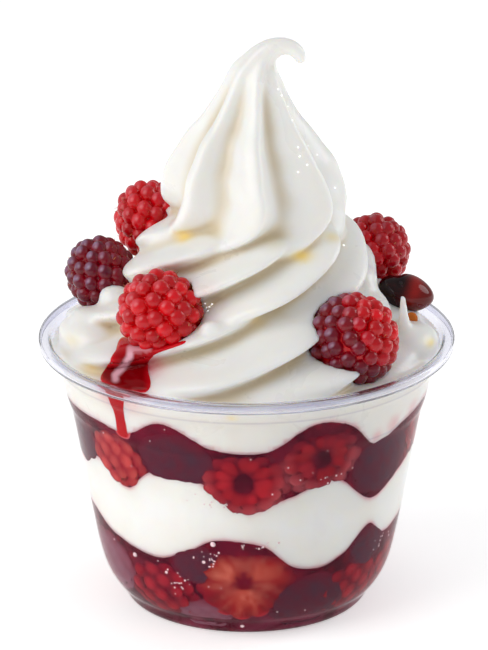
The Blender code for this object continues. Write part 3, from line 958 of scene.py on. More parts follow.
def layer_body(name, low, high, reach, columns, side_rows, low_rows=8, high_rows=8):
    """What fills the cup between two borders. Each border is a table with a lift, and the seed and size of
    its raggedness. Without a low border it stands on the floor. reach is how far it goes into the plastic."""
    radius, height = INNER_LINE.T
    foot = INNER_LINE[(radius < FOOT_RADIUS) & (height < FOOT_HEIGHT)]
    under = low_rows if low else len(foot)
    total = under + side_rows + high_rows

    def at_wall(border, angles):
        table, lift, seed, size = border
        return wave(table, angles) + lift + ragged(angles, seed, size)

    def inside(border, angles, share):
        """The waves are lower away from the wall, where share is 1."""
        table, lift = border[:2]
        middle = sum(height for _, height in table) / len(table)
        return middle + (wave(table, angles) + lift - middle) * (0.3 + 0.7 * share**2)

    def place(across, along):
        angles = across * 360
        turn = across * math.tau
        row = np.round(along * (total - 1)).astype(int)
        top = at_wall(high, angles)
        if low:
            base = at_wall(low, angles)
            share = row / (under - 1)
            low_radius = share * (wall_radius(base) + reach)
            low_height = np.where(row == under - 1, base, inside(low, angles, share))
        else:
            base = foot[-1, 1]
            low_radius, low_height = foot[np.clip(row, 0, under - 1)].T
            low_radius = low_radius + reach * (low_radius > FLAT_RADIUS)
            low_height = low_height - reach
        level = base + (top - base) * np.clip((row - under + 1) / side_rows, 0, 1)
        share = np.clip(1 - (row - under - side_rows + 1) / high_rows, 0, 1)
        lid = inside(high, angles, share) + (top - wave(high[0], angles) - high[1]) * share**6
        parts = [row < under, row < under + side_rows]
        lid_radius = share * (wall_radius(top) + reach)
        radius = np.select(parts, [low_radius, wall_radius(level) + reach], lid_radius)
        height = np.select(parts, [low_height, level], lid)
        return np.column_stack([radius * np.cos(turn), radius * np.sin(turn), height]) * MM

    return wrapped(name, columns + 1, total, place)


def soaked(angles, gap, seed):
    """How pink cream is at this distance from a border with juice."""
    reach = 0.45 + 0.9 * np.clip(ragged(angles, seed, 0.5), 0, 1)
    return 0.6 * np.exp(-np.clip(gap, 0, None) / reach)


def make_cream_band():
    piece = layer_body(
        "cream_layer", (LOWER_FRUIT_TOP, -0.1, 21, 0.2), (CREAM_BAND_TOP, 0.1, 22, 0.2), CREAM_REACH,
        columns=420, side_rows=30,
    )
    x, y, z = points_of(piece).T / MM
    angles = np.degrees(np.arctan2(y, x))
    edge = np.minimum(z - wave(LOWER_FRUIT_TOP, angles), wave(CREAM_BAND_TOP, angles) - z)
    # Painted shade: the groove colour, strongest near the borders with the fruit.
    paint(piece, "hollow", np.clip(0.22 - 0.02 * edge, 0, 0.3))
    paint(piece, "yellow_tint", 0)
    paint(piece, "stain", soaked(angles, edge, 41))
    hand_over(piece, cream_finish("layer_cream"), "cream", "cream_band")


def make_juice():
    finish = juice_finish()
    lower = layer_body(
        "lower_juice", None, (LOWER_FRUIT_TOP, 0.25, 31, 0.1), JUICE_REACH, columns=360, side_rows=44,
    )
    hand_over(lower, finish, "stewed_fruit", "lower_fruit")
    upper = layer_body(
        "upper_juice", (CREAM_BAND_TOP, -0.25, 32, 0.1), (UPPER_FRUIT_TOP, 0.25, 33, 0.1), JUICE_REACH,
        columns=360, side_rows=34,
    )
    hand_over(upper, finish, "stewed_fruit", "upper_fruit")


# The berries on top and the cherry.

def spread(total, draw):
    """Directions spread over a sphere on a spiral, each a little out of place."""
    golden = math.pi * (3 - math.sqrt(5))
    out = []
    for number in range(total):
        z = 1 - (2 * number + 1) / total
        flat = math.sqrt(1 - z * z)
        spot = Vector((flat * math.cos(golden * number), flat * math.sin(golden * number), z))
        spot += Vector([draw.uniform(-BEAD_JITTER, BEAD_JITTER) for _ in range(3)])
        out.append(spot.normalized())
    return np.array(out)


def berry_relief(directions, seed, beads):
    """How far a berry of radius 1 reaches in each direction, which bead is there, how high on it the point
    is, where the beads lie, and which way the bead faces there."""
    draw = random.Random(seed)
    centres = spread(beads, draw)
    usual = BEAD_SIZE / math.sqrt(beads)
    ring = BEAD_REACH - usual
    sizes = np.array([draw.uniform(*BEAD_SIZES) for _ in range(beads)]) * usual
    reach = np.full(len(directions), ring)
    bead = np.zeros(len(directions), int)
    for number, (centre, size) in enumerate(zip(centres, sizes)):
        along = directions @ centre * ring
        root = size**2 - ring**2 + along**2
        out = np.where((along > 0) & (root > 0), along + np.sqrt(np.maximum(root, 0)), 0)
        higher = out > reach
        reach[higher] = out[higher]
        bead[higher] = number
    relief = np.clip(1 - (ring + sizes[bead] - reach) / (0.6 * usual), 0, 1)
    facing = directions * reach[:, None] - centres[bead] * ring
    facing /= np.maximum(np.linalg.norm(facing, axis=1), 1e-9)[:, None]
    return reach, bead, relief, centres, facing


def bead_tones(beads, seed):
    draw = random.Random(seed)
    return np.array([draw.uniform(0, 1) for _ in range(beads)])


def berry_skin(relief, tone, dark, tops, valleys):
    """Colours of a berry's points, from the tone and darkness of the bead at each one. tops and valleys are
    each a red and a dark colour. The valley colours are painted light: a brighter glow on the berries on
    top, painted shade on the pressed berries."""
    shade = np.clip(dark + (tone - 0.5) * 0.3 * (dark > 0.02), 0, 1)
    skin = mixed(mixed(*valleys, shade), mixed(*tops, shade), relief**0.8)
    return skin * (0.72 + 0.5 * tone[:, None])


def laid(berry):
    """How a berry lies: leaned over about Y, then turned about Z."""
    turn = Matrix.Rotation(math.radians(berry.turn), 3, "Z")
    return turn @ Matrix.Rotation(math.radians(berry.lean), 3, "Y")


def cherry_turn():
    turn = Matrix.Identity(3)
    for angle, axis in zip(CHERRY_TILT, "XYZ"):
        turn = turn @ Matrix.Rotation(math.radians(angle), 3, axis)
    return turn.to_euler()


def make_top_berries():
    fruit = settings("fruit")
    finishes = {kind: fruit_finish(kind) for kind in ("raspberry", "dark_berry")}
    for number, berry in enumerate(TOP_BERRIES):
        piece = even_ball(berry.node + "_beads", 7, radius=1)
        directions = directions_of(piece)
        beads = round(fruit.drupelets * berry.beads)
        reach, bead, relief, centres, facing = berry_relief(directions, 40 + number, beads)
        tone = bead_tones(beads, 70 + number)[bead]
        lying = laid(berry)
        towards = centres @ np.array(lying).T @ np.array(UPPER_END)
        dark = berry.dark_low + (berry.dark_high - berry.dark_low) * np.clip((towards - 0.22) / 0.5, 0, 1)
        # Between the beads a brighter red is painted, a painted glow of light through the beads.
        tops, valleys = (fruit.red, fruit.purple), (fruit.red_valley_glow, fruit.purple_valley_glow)
        skin = berry_skin(relief, tone, dark[bead], tops, valleys)
        # Painted highlight: a pale spot on each bead where it faces the key light, on the side of the berry
        # towards that light.
        side = np.array(lying.transposed() @ HIGHLIGHT_SIDE)
        bloom = np.clip((facing @ side - 0.76) / 0.18, 0, 1) * np.clip(0.35 + 1.1 * (directions @ side), 0, 1)
        bloom *= relief * (0.42 + 0.4 * tone)
        paint(piece, "skin", mixed(skin, mixed(fruit.bloom, fruit.dark_highlight, dark[bead]), bloom))
        move_points(piece, directions * reach[:, None] * berry.radius * MM * BERRY_GROWTH)
        place = over_rim(berry.x, berry.y, berry.height) * MM
        put(piece, place, lying.to_euler(), (1, 1, berry.stretch))
        hand_over(piece, finishes[berry.kind], berry.kind, berry.node)


def make_cherry():
    piece = ball("cherry_glazed", 64, 40)
    x, y, z = points_of(piece).T
    # Fuller on its left, drawn out to the right, with a dimple on the upper left.
    slim = 1 - 0.16 * np.clip(x, 0, 1) ** 2
    dimple = 1 - 0.16 * np.exp(-((x + 0.45) ** 2 + (z - 0.75) ** 2) / 0.06)
    shaped = np.column_stack([x * dimple, y * slim * dimple, z * slim * dimple])
    move_points(piece, shaped * np.array(CHERRY_RADII) * MM)
    window = np.exp(-(((x - 0.10 - 0.15 * z) / 0.26) ** 2)) * np.clip(0.45 + 1.1 * z, 0, 1)
    paint(piece, "glow", np.clip(0.75 * window + 0.40 * np.clip((x + 0.25) / 0.8, 0, 1), 0, 1))
    put(piece, over_rim(*CHERRY_PLACE) * MM, cherry_turn())
    hand_over(piece, cherry_finish(), "cherry", "cherry")


# The soft serve.

def dollop(name, table, rows, ribs, deeper, crest, start=0.0, calm=0.0):
    """A ribbed body through the table's rings, each groove steeper on one side, as the nozzle leaves it. A
    crest below 1 makes narrow ribs, above 1 full round ones. calm makes the grooves on the left shallow."""

    def place(across, along):
        spots = np.clip((along * (rows - 1) - 1) / (rows - 3), 0, 1)
        height, shift, radius, twist, groove, lean = smooth_rows(table, spots).T
        ends = (along < 0.5 / (rows - 1)) | (along > 1 - 0.5 / (rows - 1))
        valley = (0.5 - 0.5 * np.cos(math.tau * ((across * ribs) % 1) ** RIB_SKEW)) ** crest
        wobble = 1 + 0.012 * np.sin(across * math.tau * 3 + height * 0.21) + 0.006 * np.sin(height * 0.8)
        turn = across * math.tau + np.radians(twist + start - 90)
        left = calm * np.clip(-np.cos(turn), 0, 1) ** 6
        reach = np.where(ends, 0, radius) * (1 - groove * deeper * valley * (1 - left))
        reach = reach * wobble * (1 - CALM_REACH * left)
        side = reach * np.cos(turn)
        tilt = np.radians(lean)
        return np.column_stack([
            side * np.cos(tilt) + shift, reach * np.sin(turn), RIM_HEIGHT + height - side * np.sin(tilt),
        ]) * MM

    return wrapped(name, ribs * RIB_COLUMNS + 1, rows, place)


def extra_cream(dollops):
    """The small mounds, curls and lumps and the spike round the dollops."""
    made = []
    for place, radii, turn in MOUNDS:
        turn = [math.radians(angle) for angle in turn]
        made.append(put(ball("mound", 32, 20), Vector(place) * MM, turn, Vector(radii) * MM))
    for place, radius, thick, turn in CURLS:
        curl = begin(
            bpy.ops.mesh.primitive_torus_add, "curl", major_segments=40, minor_segments=16,
            major_radius=radius * MM, minor_radius=thick * MM,
        )
        made.append(put(curl, Vector(place) * MM, [math.radians(angle) for angle in turn]))
    trees = [surface_tree(part) for part in dollops]
    for across, level, radii in LUMPS:
        hits = [seen_from_front(tree, across, level) for tree in trees]
        place = next(hit for hit in hits if hit is not None)
        made.append(put(ball("lump", 24, 16), place, scale=Vector(radii) * MM))
    foot, tip, thick, thin = SPIKE
    way = Vector(tip) - Vector(foot)
    spike = begin(
        bpy.ops.mesh.primitive_cone_add, "spike", vertices=32, radius1=thick * MM, radius2=thin * MM,
        depth=way.length * MM,
    )
    made.append(put(spike, (Vector(foot) + way / 2) * MM, way.to_track_quat("Z", "Y").to_euler()))
    return made


def melt_together(piece):
    voxel = settings("cream").voxel
    apply_modifier(piece, "REMESH", mode="VOXEL", voxel_size=voxel, use_smooth_shade=True)


def cut_beds(piece):
    """Cuts a bed in the cream for each berry and for the cherry."""
    beds = []
    for berry in TOP_BERRIES:
        bed = even_ball("bed", 5, radius=berry.radius * BERRY_BED * MM)
        place = over_rim(berry.x, berry.y, berry.height) * MM
        beds.append(put(bed, place, laid(berry).to_euler(), (1, 1, berry.stretch)))
    bed = even_ball("bed", 4, radius=MM)
    beds.append(put(bed, over_rim(*CHERRY_PLACE) * MM, cherry_turn(), Vector(CHERRY_RADII) * CHERRY_BED))
    for bed in beds:
        apply_modifier(piece, "BOOLEAN", operation="DIFFERENCE", solver="MANIFOLD", object=bed)
        bpy.data.objects.remove(bed)


def melt_mounds(piece, points):
    """Softens the creases round the small mounds."""
    share = np.zeros(len(points))
    for place, radii, _ in MOUNDS:
        far = np.linalg.norm(points / MM - np.array(place), axis=1) / (max(radii) + MOUND_MELT)
        share = np.maximum(share, np.clip(1.6 - 1.6 * far**2, 0, 1))
    return mixed(points, smoothed(piece, points, MOUND_PASSES), share)


def held_by_wall(points):
    """Brings the cream that touches the wall, and what would pass through it, just into the plastic."""
    far = np.hypot(points[:, 0], points[:, 1]) / MM
    height = points[:, 2] / MM
    wall = wall_radius(height)
    touching = (far > wall - TOUCHING[0]) & (height < TOUCHING[1])
    passing = (far > wall + PASSING[0]) & (height < PASSING[1])
    pull = np.where(touching | passing, (wall + CREAM_REACH) / np.maximum(far, 1), 1)
    return points * np.column_stack([pull, pull, np.ones(len(pull))])


def spotted(points, tree, spots, squash=1):
    """How strong spots that are seen from the front are at each point. squash makes them lower than wide."""
    strongest = np.zeros(len(points))
    for across, level, size, strength in spots:
        hit = seen_from_front(tree, across, level)
        if hit is not None:
            far = np.linalg.norm((points - np.array(hit)) / MM * np.array((1, 1, squash)), axis=1) / size
            strongest = np.maximum(strongest, strength * np.exp(-(far**2)))
    return strongest


def shade_cream(piece):
    """Keeps for each point how deep in a groove it lies, which sets its painted shade, how much yellow tint
    it has and how stained it is.
    """
    points = points_of(piece)
    normals = vertex_data(piece, "normal")
    fine = np.einsum("ij,ij->i", smoothed(piece, points, FINE_PASSES) - points, normals) / MM
    broad = np.einsum("ij,ij->i", smoothed(piece, points, BROAD_PASSES) - points, normals) / MM
    x, y, z = points.T / MM
    beyond = np.hypot(x, y) - wall_radius(z)
    # Behind the plastic the cream is painted a little darker than on top: painted shade.
    behind = np.clip((beyond + 1.0) / 0.8, 0, 1) * np.clip((63.0 - z) / 3.0, 0, 1)
    # Painted shade: the deeper in a groove, the more of the groove colour.
    hollow = np.clip(fine * 1.5 + broad * 0.9 - 0.14, 0, 1) + 0.22 * behind
    paint(piece, "hollow", np.clip(smoothed(piece, hollow[:, None], 3)[:, 0], 0, 1))
    tree = surface_tree(piece)
    paint(piece, "yellow_tint", spotted(points, tree, YELLOW_SPOTS, YELLOW_SPOTS_WIDE))
    angles = np.degrees(np.arctan2(y, x))
    crept = soaked(angles, z - wave(UPPER_FRUIT_TOP, angles) - 0.1, 43)
    crept = np.where((beyond > -1.2) & (z < 62), crept, 0)
    paint(piece, "stain", np.maximum(crept, spotted(points, tree, STAIN_SPOTS)))


def make_soft_serve():
    filling = layer_body(
        "cup_cream", (UPPER_FRUIT_TOP, -0.1, 11, 0.16), (FILLING_TOP, 0.0, 12, 0.12), FILLING_REACH,
        columns=300, side_rows=20, low_rows=6,
    )
    dollops = [
        dollop("lower_dollop", LOWER_DOLLOP, 60, RIBS, 1.2, 1.25),
        dollop("middle_dollop", MIDDLE_DOLLOP, 80, RIBS, 1.2, 1.25, calm=CALM_GROOVES),
        dollop("peak_dollop", PEAK_DOLLOP, 200, PEAK_RIBS, 1.22, 0.8, start=PEAK_TURN),
    ]
    piece = joined([filling, *dollops, *extra_cream(dollops)], "soft_serve_swirl")
    melt_together(piece)
    move_points(piece, smoothed(piece, points_of(piece), 3))
    cut_beds(piece)
    melt_together(piece)
    points = melt_mounds(piece, smoothed(piece, points_of(piece), 2))
    move_points(piece, held_by_wall(points))
    shade_cream(piece)
    apply_modifier(piece, "DECIMATE", ratio=min(1, SWIRL_FACES / (2 * len(piece.data.polygons))))
    hand_over(piece, cream_finish("cream"), "cream", "soft_serve")


# The fruit in the layers.

def ringed_relief(open_angle, polar, seed):
    """Like berry_relief, for a berry seen into its hollow: long beads in rings round it."""
    draw = random.Random(seed)
    reach = np.full(len(polar), RING_SKIN)
    bead = np.zeros(len(polar), int)
    number = 0
    for total, middle, half in BEAD_RINGS:
        first = draw.uniform(0, math.tau)
        for step in range(total):
            turn = first + math.tau * (step + draw.uniform(-0.16, 0.16)) / total
            wide = math.pi / total * draw.uniform(1.0, 1.25)
            across = (polar - turn + math.pi) % math.tau - math.pi
            far = ((open_angle - middle * draw.uniform(0.95, 1.05)) / half) ** 2 + (across / wide) ** 2
            out = RING_SKIN + RING_SWELL * draw.uniform(0.85, 1.1) * np.sqrt(np.clip(1 - far, 0, 1))
            higher = out > reach
            reach[higher] = out[higher]
            bead[higher] = number
            number += 1
    return reach, bead, np.clip((reach - RING_SKIN) / RING_SWELL, 0, 1)


def cut_across(polar, open_angle, reach, skin):
    """Shows a berry cut across: three corners, one of them down, and wedges of flesh with pale threads."""
    fruit = settings("fruit")
    corner = np.cos(3 * polar)
    rim = CUT_HOLLOW * (1 + 0.16 * corner)
    drift = polar + 0.10 * np.sin(2 * polar + 1) + 0.05 * np.sin(5 * polar)
    wedge = 0.5 + 0.5 * np.cos(CUT_WEDGES * drift)
    edge = CUT_EDGE + 0.04 * wedge
    hole = open_angle <= rim
    flesh = ~hole & (open_angle < edge)
    depth = np.clip((open_angle - rim) / (edge - rim), 0, 1)
    reach = np.where(flesh, 0.970 - 0.02 * (1 - wedge) ** 3 * np.clip(depth * 1.5, 0, 1), reach)
    reach = np.where(hole, 0.80 + 0.165 * (open_angle / rim) ** 4, reach)
    thread = np.clip(0.5 + 0.5 * np.cos(CUT_THREADS * drift + 0.8 * np.sin(5 * depth)), 0, 1) ** 3
    glow = np.exp(-((depth - 0.16) ** 2) / 0.035)
    body = mixed(fruit.flesh, fruit.pale_flesh, np.clip(0.3 * glow + 1.1 * thread * (1 - 0.5 * depth), 0, 1))
    body = mixed(body, FLESH_EDGE, np.clip((depth - 0.35) / 0.5, 0, 1) * (0.9 - 0.35 * thread))
    seam = (1 - wedge) ** 5 * np.clip(depth * 1.6 - 0.3, 0, 1)
    skin = np.where(flesh[:, None], body * (1 - 0.6 * seam[:, None]), skin)
    return reach * (1 - 0.06 * corner), np.where(hole[:, None], BERRY_CORE, skin)


def hollowed(polar, open_angle, reach, skin):
    """Opens a berry's hollow towards the wall, with a painted highlight on the tips of the beads below it."""
    heart = HEART_WIDTH * (1 + 0.20 * np.cos(2 * polar) - 0.22 * np.cos(polar) + 0.06 * np.cos(5 * polar))
    edge = np.clip((open_angle - heart) / HEART_EDGE, 0, 1)
    sunk = HEART_FLOOR + (reach - HEART_FLOOR) * edge**0.6
    reach = np.where(open_angle < heart + HEART_EDGE, sunk, reach)
    # Painted highlight: pale tips on the beads below the hollow.
    tip = np.clip((open_angle - 0.7) / 0.5, 0, 1) * np.clip(0.6 - 0.6 * np.cos(polar), 0, 1) * 0.5
    return reach, mixed(BERRY_CORE, mixed(skin, TIP_HIGHLIGHT, tip), edge)


def pressed_look(number, kind, directions, spin):
    """How far a pressed berry reaches in each direction, its colours and the tone of the bead there. +X of
    the berry faces the wall, and spin is its turn about that axis."""
    up = directions[:, 2] * math.cos(spin) - directions[:, 1] * math.sin(spin)
    side = directions[:, 1] * math.cos(spin) + directions[:, 2] * math.sin(spin)
    polar = np.arctan2(side, up)
    open_angle = np.arccos(np.clip(directions[:, 0], -1, 1))
    if kind in HOLLOW_KINDS or kind == "cut":
        reach, bead, relief = ringed_relief(open_angle, polar, 200 + number)
        beads = sum(ring[0] for ring in BEAD_RINGS)
    else:
        reach, bead, relief, _, _ = berry_relief(directions, 200 + number, PRESSED_BEADS)
        beads = PRESSED_BEADS
    tone = bead_tones(beads, 300 + number)[bead]
    fruit = settings("fruit")
    # Between the pressed beads a darker colour is painted, painted shade that shows their relief.
    tops, valleys = (fruit.stewed, fruit.stewed_dark), (fruit.stewed_valley_shade, fruit.stewed_dark)
    skin = berry_skin(relief, tone, np.full(len(tone), DARKNESS[kind]), tops, valleys)
    if kind in ("dark", "haze"):
        # Dark fruit shows little of its beads through the juice. The hazy fruit's pale pink is partly fruit
        # seen through the juice and partly painted reflection.
        skin = 0.35 * skin + 0.65 * np.array(fruit.stewed_haze_and_reflection if kind == "haze" else fruit.stewed_dark)
        reach = 1 - 0.45 * (1 - reach)
    elif kind == "pale":
        skin = mixed(PALE_BERRY, fruit.stewed, 1 - relief) * (0.8 + 0.4 * tone[:, None])
    elif kind == "cut":
        reach, skin = cut_across(polar, open_angle, reach, skin)
    elif kind in HOLLOW_KINDS:
        reach, skin = hollowed(polar, open_angle, reach, skin)
    return reach, skin, tone


def pressed_points(directions, reach, row, borders):
    """Where a pressed berry's points lie, in millimetres, and how deep in the juice they are."""
    angle, height, radius = row[:3]
    bearing = math.radians(angle)
    centre = float(wall_radius(height)) - radius * PRESSED_INSET

    def world(local):
        out = local[:, 0] + centre
        return np.column_stack([
            out * math.cos(bearing) - local[:, 1] * math.sin(bearing),
            out * math.sin(bearing) + local[:, 1] * math.cos(bearing), local[:, 2] + height,
        ])

    smooth = directions * np.array(PRESSED_SHAPE) * radius
    outer = world(smooth)
    beads = world(smooth * reach[:, None]) - outer
    far = np.hypot(outer[:, 0], outer[:, 1])
    limit = wall_radius(outer[:, 2]) + FRUIT_REACH
    pressed = limit - PRESSED_EASE * np.logaddexp(0, (limit - far) / PRESSED_EASE)
    outer[:, :2] *= (pressed / np.maximum(far, 1))[:, None]
    points = outer + beads
    points[:, 2] = np.maximum(points[:, 2], PRESSED_LOWEST)
    low, high = borders
    bearings = np.degrees(np.arctan2(points[:, 1], points[:, 0]))
    top = wave(high, bearings)
    over = points[:, 2] - top
    if low is not None:
        over = np.maximum(over, wave(low, bearings) - points[:, 2])
    points[:, 2] = np.minimum(points[:, 2], top + PRESSED_OVER)
    far = np.hypot(points[:, 0], points[:, 1])
    limit = wall_radius(points[:, 2]) + FRUIT_REACH
    depth = np.clip(limit - far, 0, None) + 0.6 * np.clip(over, 0, None)
    # What lies near the wall touches the plastic, so that no air shows, and the rest is lost in the juice.
    shown = limit - 0.10 * np.minimum(depth / SEEN_DEPTH, 1) - np.clip(depth - SEEN_DEPTH, 0, None)
    points[:, :2] *= (shown / np.maximum(far, 1))[:, None]
    return points, depth


def pressed_fruit(number, row, borders):
    """A berry squeezed flat against the inside of the wall, with its beads still in relief."""
    kind, turn = row[3:]
    piece = even_ball("pressed", 6, radius=1)
    directions = directions_of(piece)
    reach, skin, tone = pressed_look(number, kind, directions, math.radians(turn))
    points, depth = pressed_points(directions, reach, row, borders)
    move_points(piece, points * MM)
    syrup = settings("syrup")
    juice = mixed(syrup.juice, syrup.dark_juice, tone * 0.5)
    paint(piece, "skin", mixed(skin, juice, VEIL * (1 - np.exp(-depth / VEIL_DEPTH))))
    apply_modifier(piece, "DECIMATE", ratio=PRESSED_DETAIL)
    return piece


def make_layer_fruit():
    finish = fruit_finish("stewed_berries")
    for name, fruit, borders, first in (
        ("lower_berries", LOWER_FRUIT, (None, LOWER_FRUIT_TOP), 0),
        ("upper_berries", UPPER_FRUIT, (CREAM_BAND_TOP, UPPER_FRUIT_TOP), 50),
    ):
        pieces = [pressed_fruit(first + number, row, borders) for number, row in enumerate(fruit)]
        hand_over(joined(pieces, name), finish, "stewed_fruit")


# The syrup.

def near_path(path, across, level):
    """How far points seen from the front are from a path."""
    nearest = np.full(len(across), np.inf)
    for (x0, z0), (x1, z1) in zip(path, path[1:]):
        way = np.array((x1 - x0, z1 - z0))
        share = np.clip(((across - x0) * way[0] + (level - z0) * way[1]) / (way @ way), 0, 1)
        nearest = np.minimum(nearest, np.hypot(across - x0 - share * way[0], level - z0 - share * way[1]))
    return nearest


def swollen(across, along, quick):
    """How full a sheet of syrup is: round across, and soon full behind its ends."""
    ends = np.clip(np.minimum(along, 1 - along) * quick, 0, 1)
    return np.sqrt(np.clip(1 - (2 * across - 1) ** 2, 0, 1)) * np.sqrt(ends)


def paint_syrup(piece, depth=0, caramel=0, milk_and_highlight=0):
    paint(piece, "depth", depth)
    paint(piece, "caramel", caramel)
    paint(piece, "milk_and_highlight", milk_and_highlight)


def ground_below(tree):
    """The cream under the pool as a smooth grid of points, and which way is up from each."""
    level, left, right = smooth_rows(SYRUP_POOL, np.linspace(0, 1, POOL_ROWS)).T
    ground = np.zeros((POOL_ROWS, POOL_COLUMNS + 1, 3))
    last = None
    for row in range(POOL_ROWS):
        for column in range(POOL_COLUMNS + 1):
            across = left[row] + (right[row] - left[row]) * column / POOL_COLUMNS
            hit = seen_from_front(tree, across, level[row])
            last = last if hit is None else hit
            ground[row, column] = last
    for _ in range(16):
        padded = np.pad(ground, ((1, 1), (1, 1), (0, 0)), mode="edge")
        beside = padded[:-2, 1:-1] + padded[2:, 1:-1] + padded[1:-1, :-2] + padded[1:-1, 2:]
        ground = (beside + 2 * ground) / 6
    up = np.cross(np.gradient(ground, axis=0), np.gradient(ground, axis=1))
    up /= np.maximum(np.linalg.norm(up, axis=2, keepdims=True), 1e-12)
    up *= np.sign(np.sum(up * np.array((0, -0.5, 0.85)), axis=2, keepdims=True))
    return ground, up


def make_pool(tree, finish):
    ground, up = ground_below(tree)

    def lay(across, along, upper):
        row = np.round(along * (POOL_ROWS - 1)).astype(int)
        column = np.clip(np.round(across * POOL_COLUMNS).astype(int), 0, POOL_COLUMNS)
        swell = swollen(across, along, 9)
        depth = np.where(upper, SYRUP_DEPTH * swell - 0.25, -0.35 - 0.25 * swell) * MM
        return ground[row, column] + up[row, column] * depth[:, None]

    piece = closed_sheet("syrup_pool", POOL_ROWS, POOL_COLUMNS, lay)
    points = points_of(piece)
    depth = np.array([tree.find_nearest(Vector(point))[3] for point in points]) / MM / (0.55 * SYRUP_DEPTH)
    across, away, height = points.T / MM
    level = height + away * math.tan(CAMERA_PITCH)
    start, over = SYRUP_BRIGHT
    # Painted light: the syrup is brighter up here, where the raspberry's shade falls.
    brightened_in_shade = 0.45 * np.clip((level - start) / over, 0, 1)
    # Painted highlight: a pale pink streak where a light would be reflected in the pool.
    milk_and_highlight = 0.9 * np.clip(1.5 - near_path(HIGHLIGHT_STREAK, across, level) / HIGHLIGHT_STREAK_WIDTH, 0, 1)
    paint_syrup(piece, np.clip(depth, 0, 1) * (1 - brightened_in_shade), milk_and_highlight=milk_and_highlight)
    hand_over(piece, finish, "stewed_fruit")


def make_run(finish):
    def lay(across, along, upper):
        height, first, last = smooth_rows(SYRUP_RUN, along).T
        turn = np.radians(first + (last - first) * across)
        swell = swollen(across, along, 12)
        far = wall_radius(height) + np.where(upper, 0.12 + 0.28 * swell, 0.1 - 0.5 * swell)
        return np.column_stack([far * np.cos(turn), far * np.sin(turn), height]) * MM

    piece = closed_sheet("syrup_run", RUN_ROWS, RUN_COLUMNS, lay)
    x, y, height = points_of(piece).T / MM
    beyond = np.hypot(x, y) - wall_radius(height)
    milk_and_highlight = np.clip(0.75 - (beyond - 0.12) * 3.2, 0, 0.6)
    paint_syrup(piece, np.clip((beyond - 0.15) * 2.2, 0, 0.5), milk_and_highlight=milk_and_highlight)
    hand_over(piece, finish, "stewed_fruit")


def make_syrup():
    tree = surface_tree(bpy.data.objects["soft_serve_swirl"])
    finish = syrup_finish()
    make_pool(tree, finish)
    make_run(finish)
    across, level, radii = CARAMEL_DAB
    dab = put(ball("caramel_dab", 32, 20), seen_from_front(tree, across, level), scale=Vector(radii) * MM)
    paint_syrup(dab, caramel=1)
    hand_over(dab, finish, "stewed_fruit")


# Small scattered things.

def make_bubbles():
    draw = random.Random(9)
    spots = list(BIG_BUBBLES)
    for angle, level, wide, tall, total in BUBBLE_CLUSTERS:
        for _ in range(total):
            place = angle + draw.gauss(0, wide / 2), level + draw.gauss(0, tall / 2)
            spots.append((*place, draw.uniform(*CLUSTER_RADII)))
    for _ in range(LOOSE_BUBBLES):
        angle = draw.uniform(-180, 180)
        if draw.random() < 0.5:
            low, high = 4, wave(LOWER_FRUIT_TOP, angle) - 0.5
        else:
            low, high = wave(CREAM_BAND_TOP, angle) + 0.5, wave(UPPER_FRUIT_TOP, angle) - 0.5
        spots.append((angle, draw.uniform(float(low), float(high)), draw.uniform(*LOOSE_RADII)))
    made = []
    for angle, level, radius in spots:
        far = float(wall_radius(level)) + BUBBLE_REACH - 0.5 * radius
        turn = math.radians(angle)
        place = Vector((far * math.cos(turn), far * math.sin(turn), level)) * MM
        made.append(even_ball("bubble", 2, radius=radius * MM, location=place))
    hand_over(joined(made, "juice_bubbles"), bead_finish("bubbles"), "stewed_fruit")


def make_drops():
    draw = random.Random(12)
    tree = surface_tree(bpy.data.objects["soft_serve_swirl"])
    made = []
    for across, level in CREAM_DROPS:
        hit = seen_from_front(tree, across, level)
        if hit is not None:
            made.append(even_ball("drop", 3, radius=draw.uniform(*DROP_RADII) * MM, location=hit))
    hand_over(joined(made, "cream_drops"), bead_finish("drops"), "cream")


def make_hairs():
    """The fine dry threads that stand between the beads."""
    draw = random.Random(21)
    thick, thin = HAIR_RADII
    made = []
    for berry in TOP_BERRIES:
        middle = over_rim(berry.x, berry.y, berry.height)
        for _ in range(HAIRS[berry.kind]):
            way = Vector((draw.uniform(-1, 1), draw.uniform(-1, 0.6), draw.uniform(-0.4, 1))).normalized()
            lean = (way + Vector([draw.uniform(-0.7, 0.7) for _ in range(3)])).normalized()
            root = middle + way * berry.radius * 0.97
            length = draw.uniform(*HAIR_LENGTHS)
            made.append(begin(
                bpy.ops.mesh.primitive_cone_add, "hair", vertices=6, radius1=thick * MM, radius2=thin * MM,
                depth=length * MM, location=(root + lean * length * 0.35) * MM,
                rotation=lean.to_track_quat("Z", "Y").to_euler(),
            ))
    hand_over(joined(made, "berry_hairs"), hair_finish(), "raspberry")


# The stage.

def add_light(name, power):
    place, size, tint = LIGHTS[name]
    bpy.ops.object.light_add(type="AREA", location=place)
    lamp = bpy.context.active_object
    lamp.name = name
    lamp.data.shape = "DISK"
    lamp.data.size = size
    lamp.data.energy = power
    lamp.data.color = tint
    lamp.rotation_euler = (Vector(LIGHT_AIM) - Vector(place)).to_track_quat("-Z", "Y").to_euler()


def add_camera():
    aim = Vector((0, 0, RIM_HEIGHT * MM))
    place = aim + Vector((0, -math.cos(CAMERA_PITCH), math.sin(CAMERA_PITCH))) * CAMERA_AWAY
    bpy.ops.object.camera_add(location=place)
    camera = bpy.context.active_object
    camera.rotation_euler = (aim - place).to_track_quat("-Z", "Y").to_euler()
    camera.data.sensor_width = CAMERA_SENSOR
    camera.data.lens = CAMERA_LENS
    camera.data.shift_x, camera.data.shift_y = CAMERA_SHIFT
    camera.data.clip_end = CAMERA_SIGHT
    bpy.context.scene.camera = camera


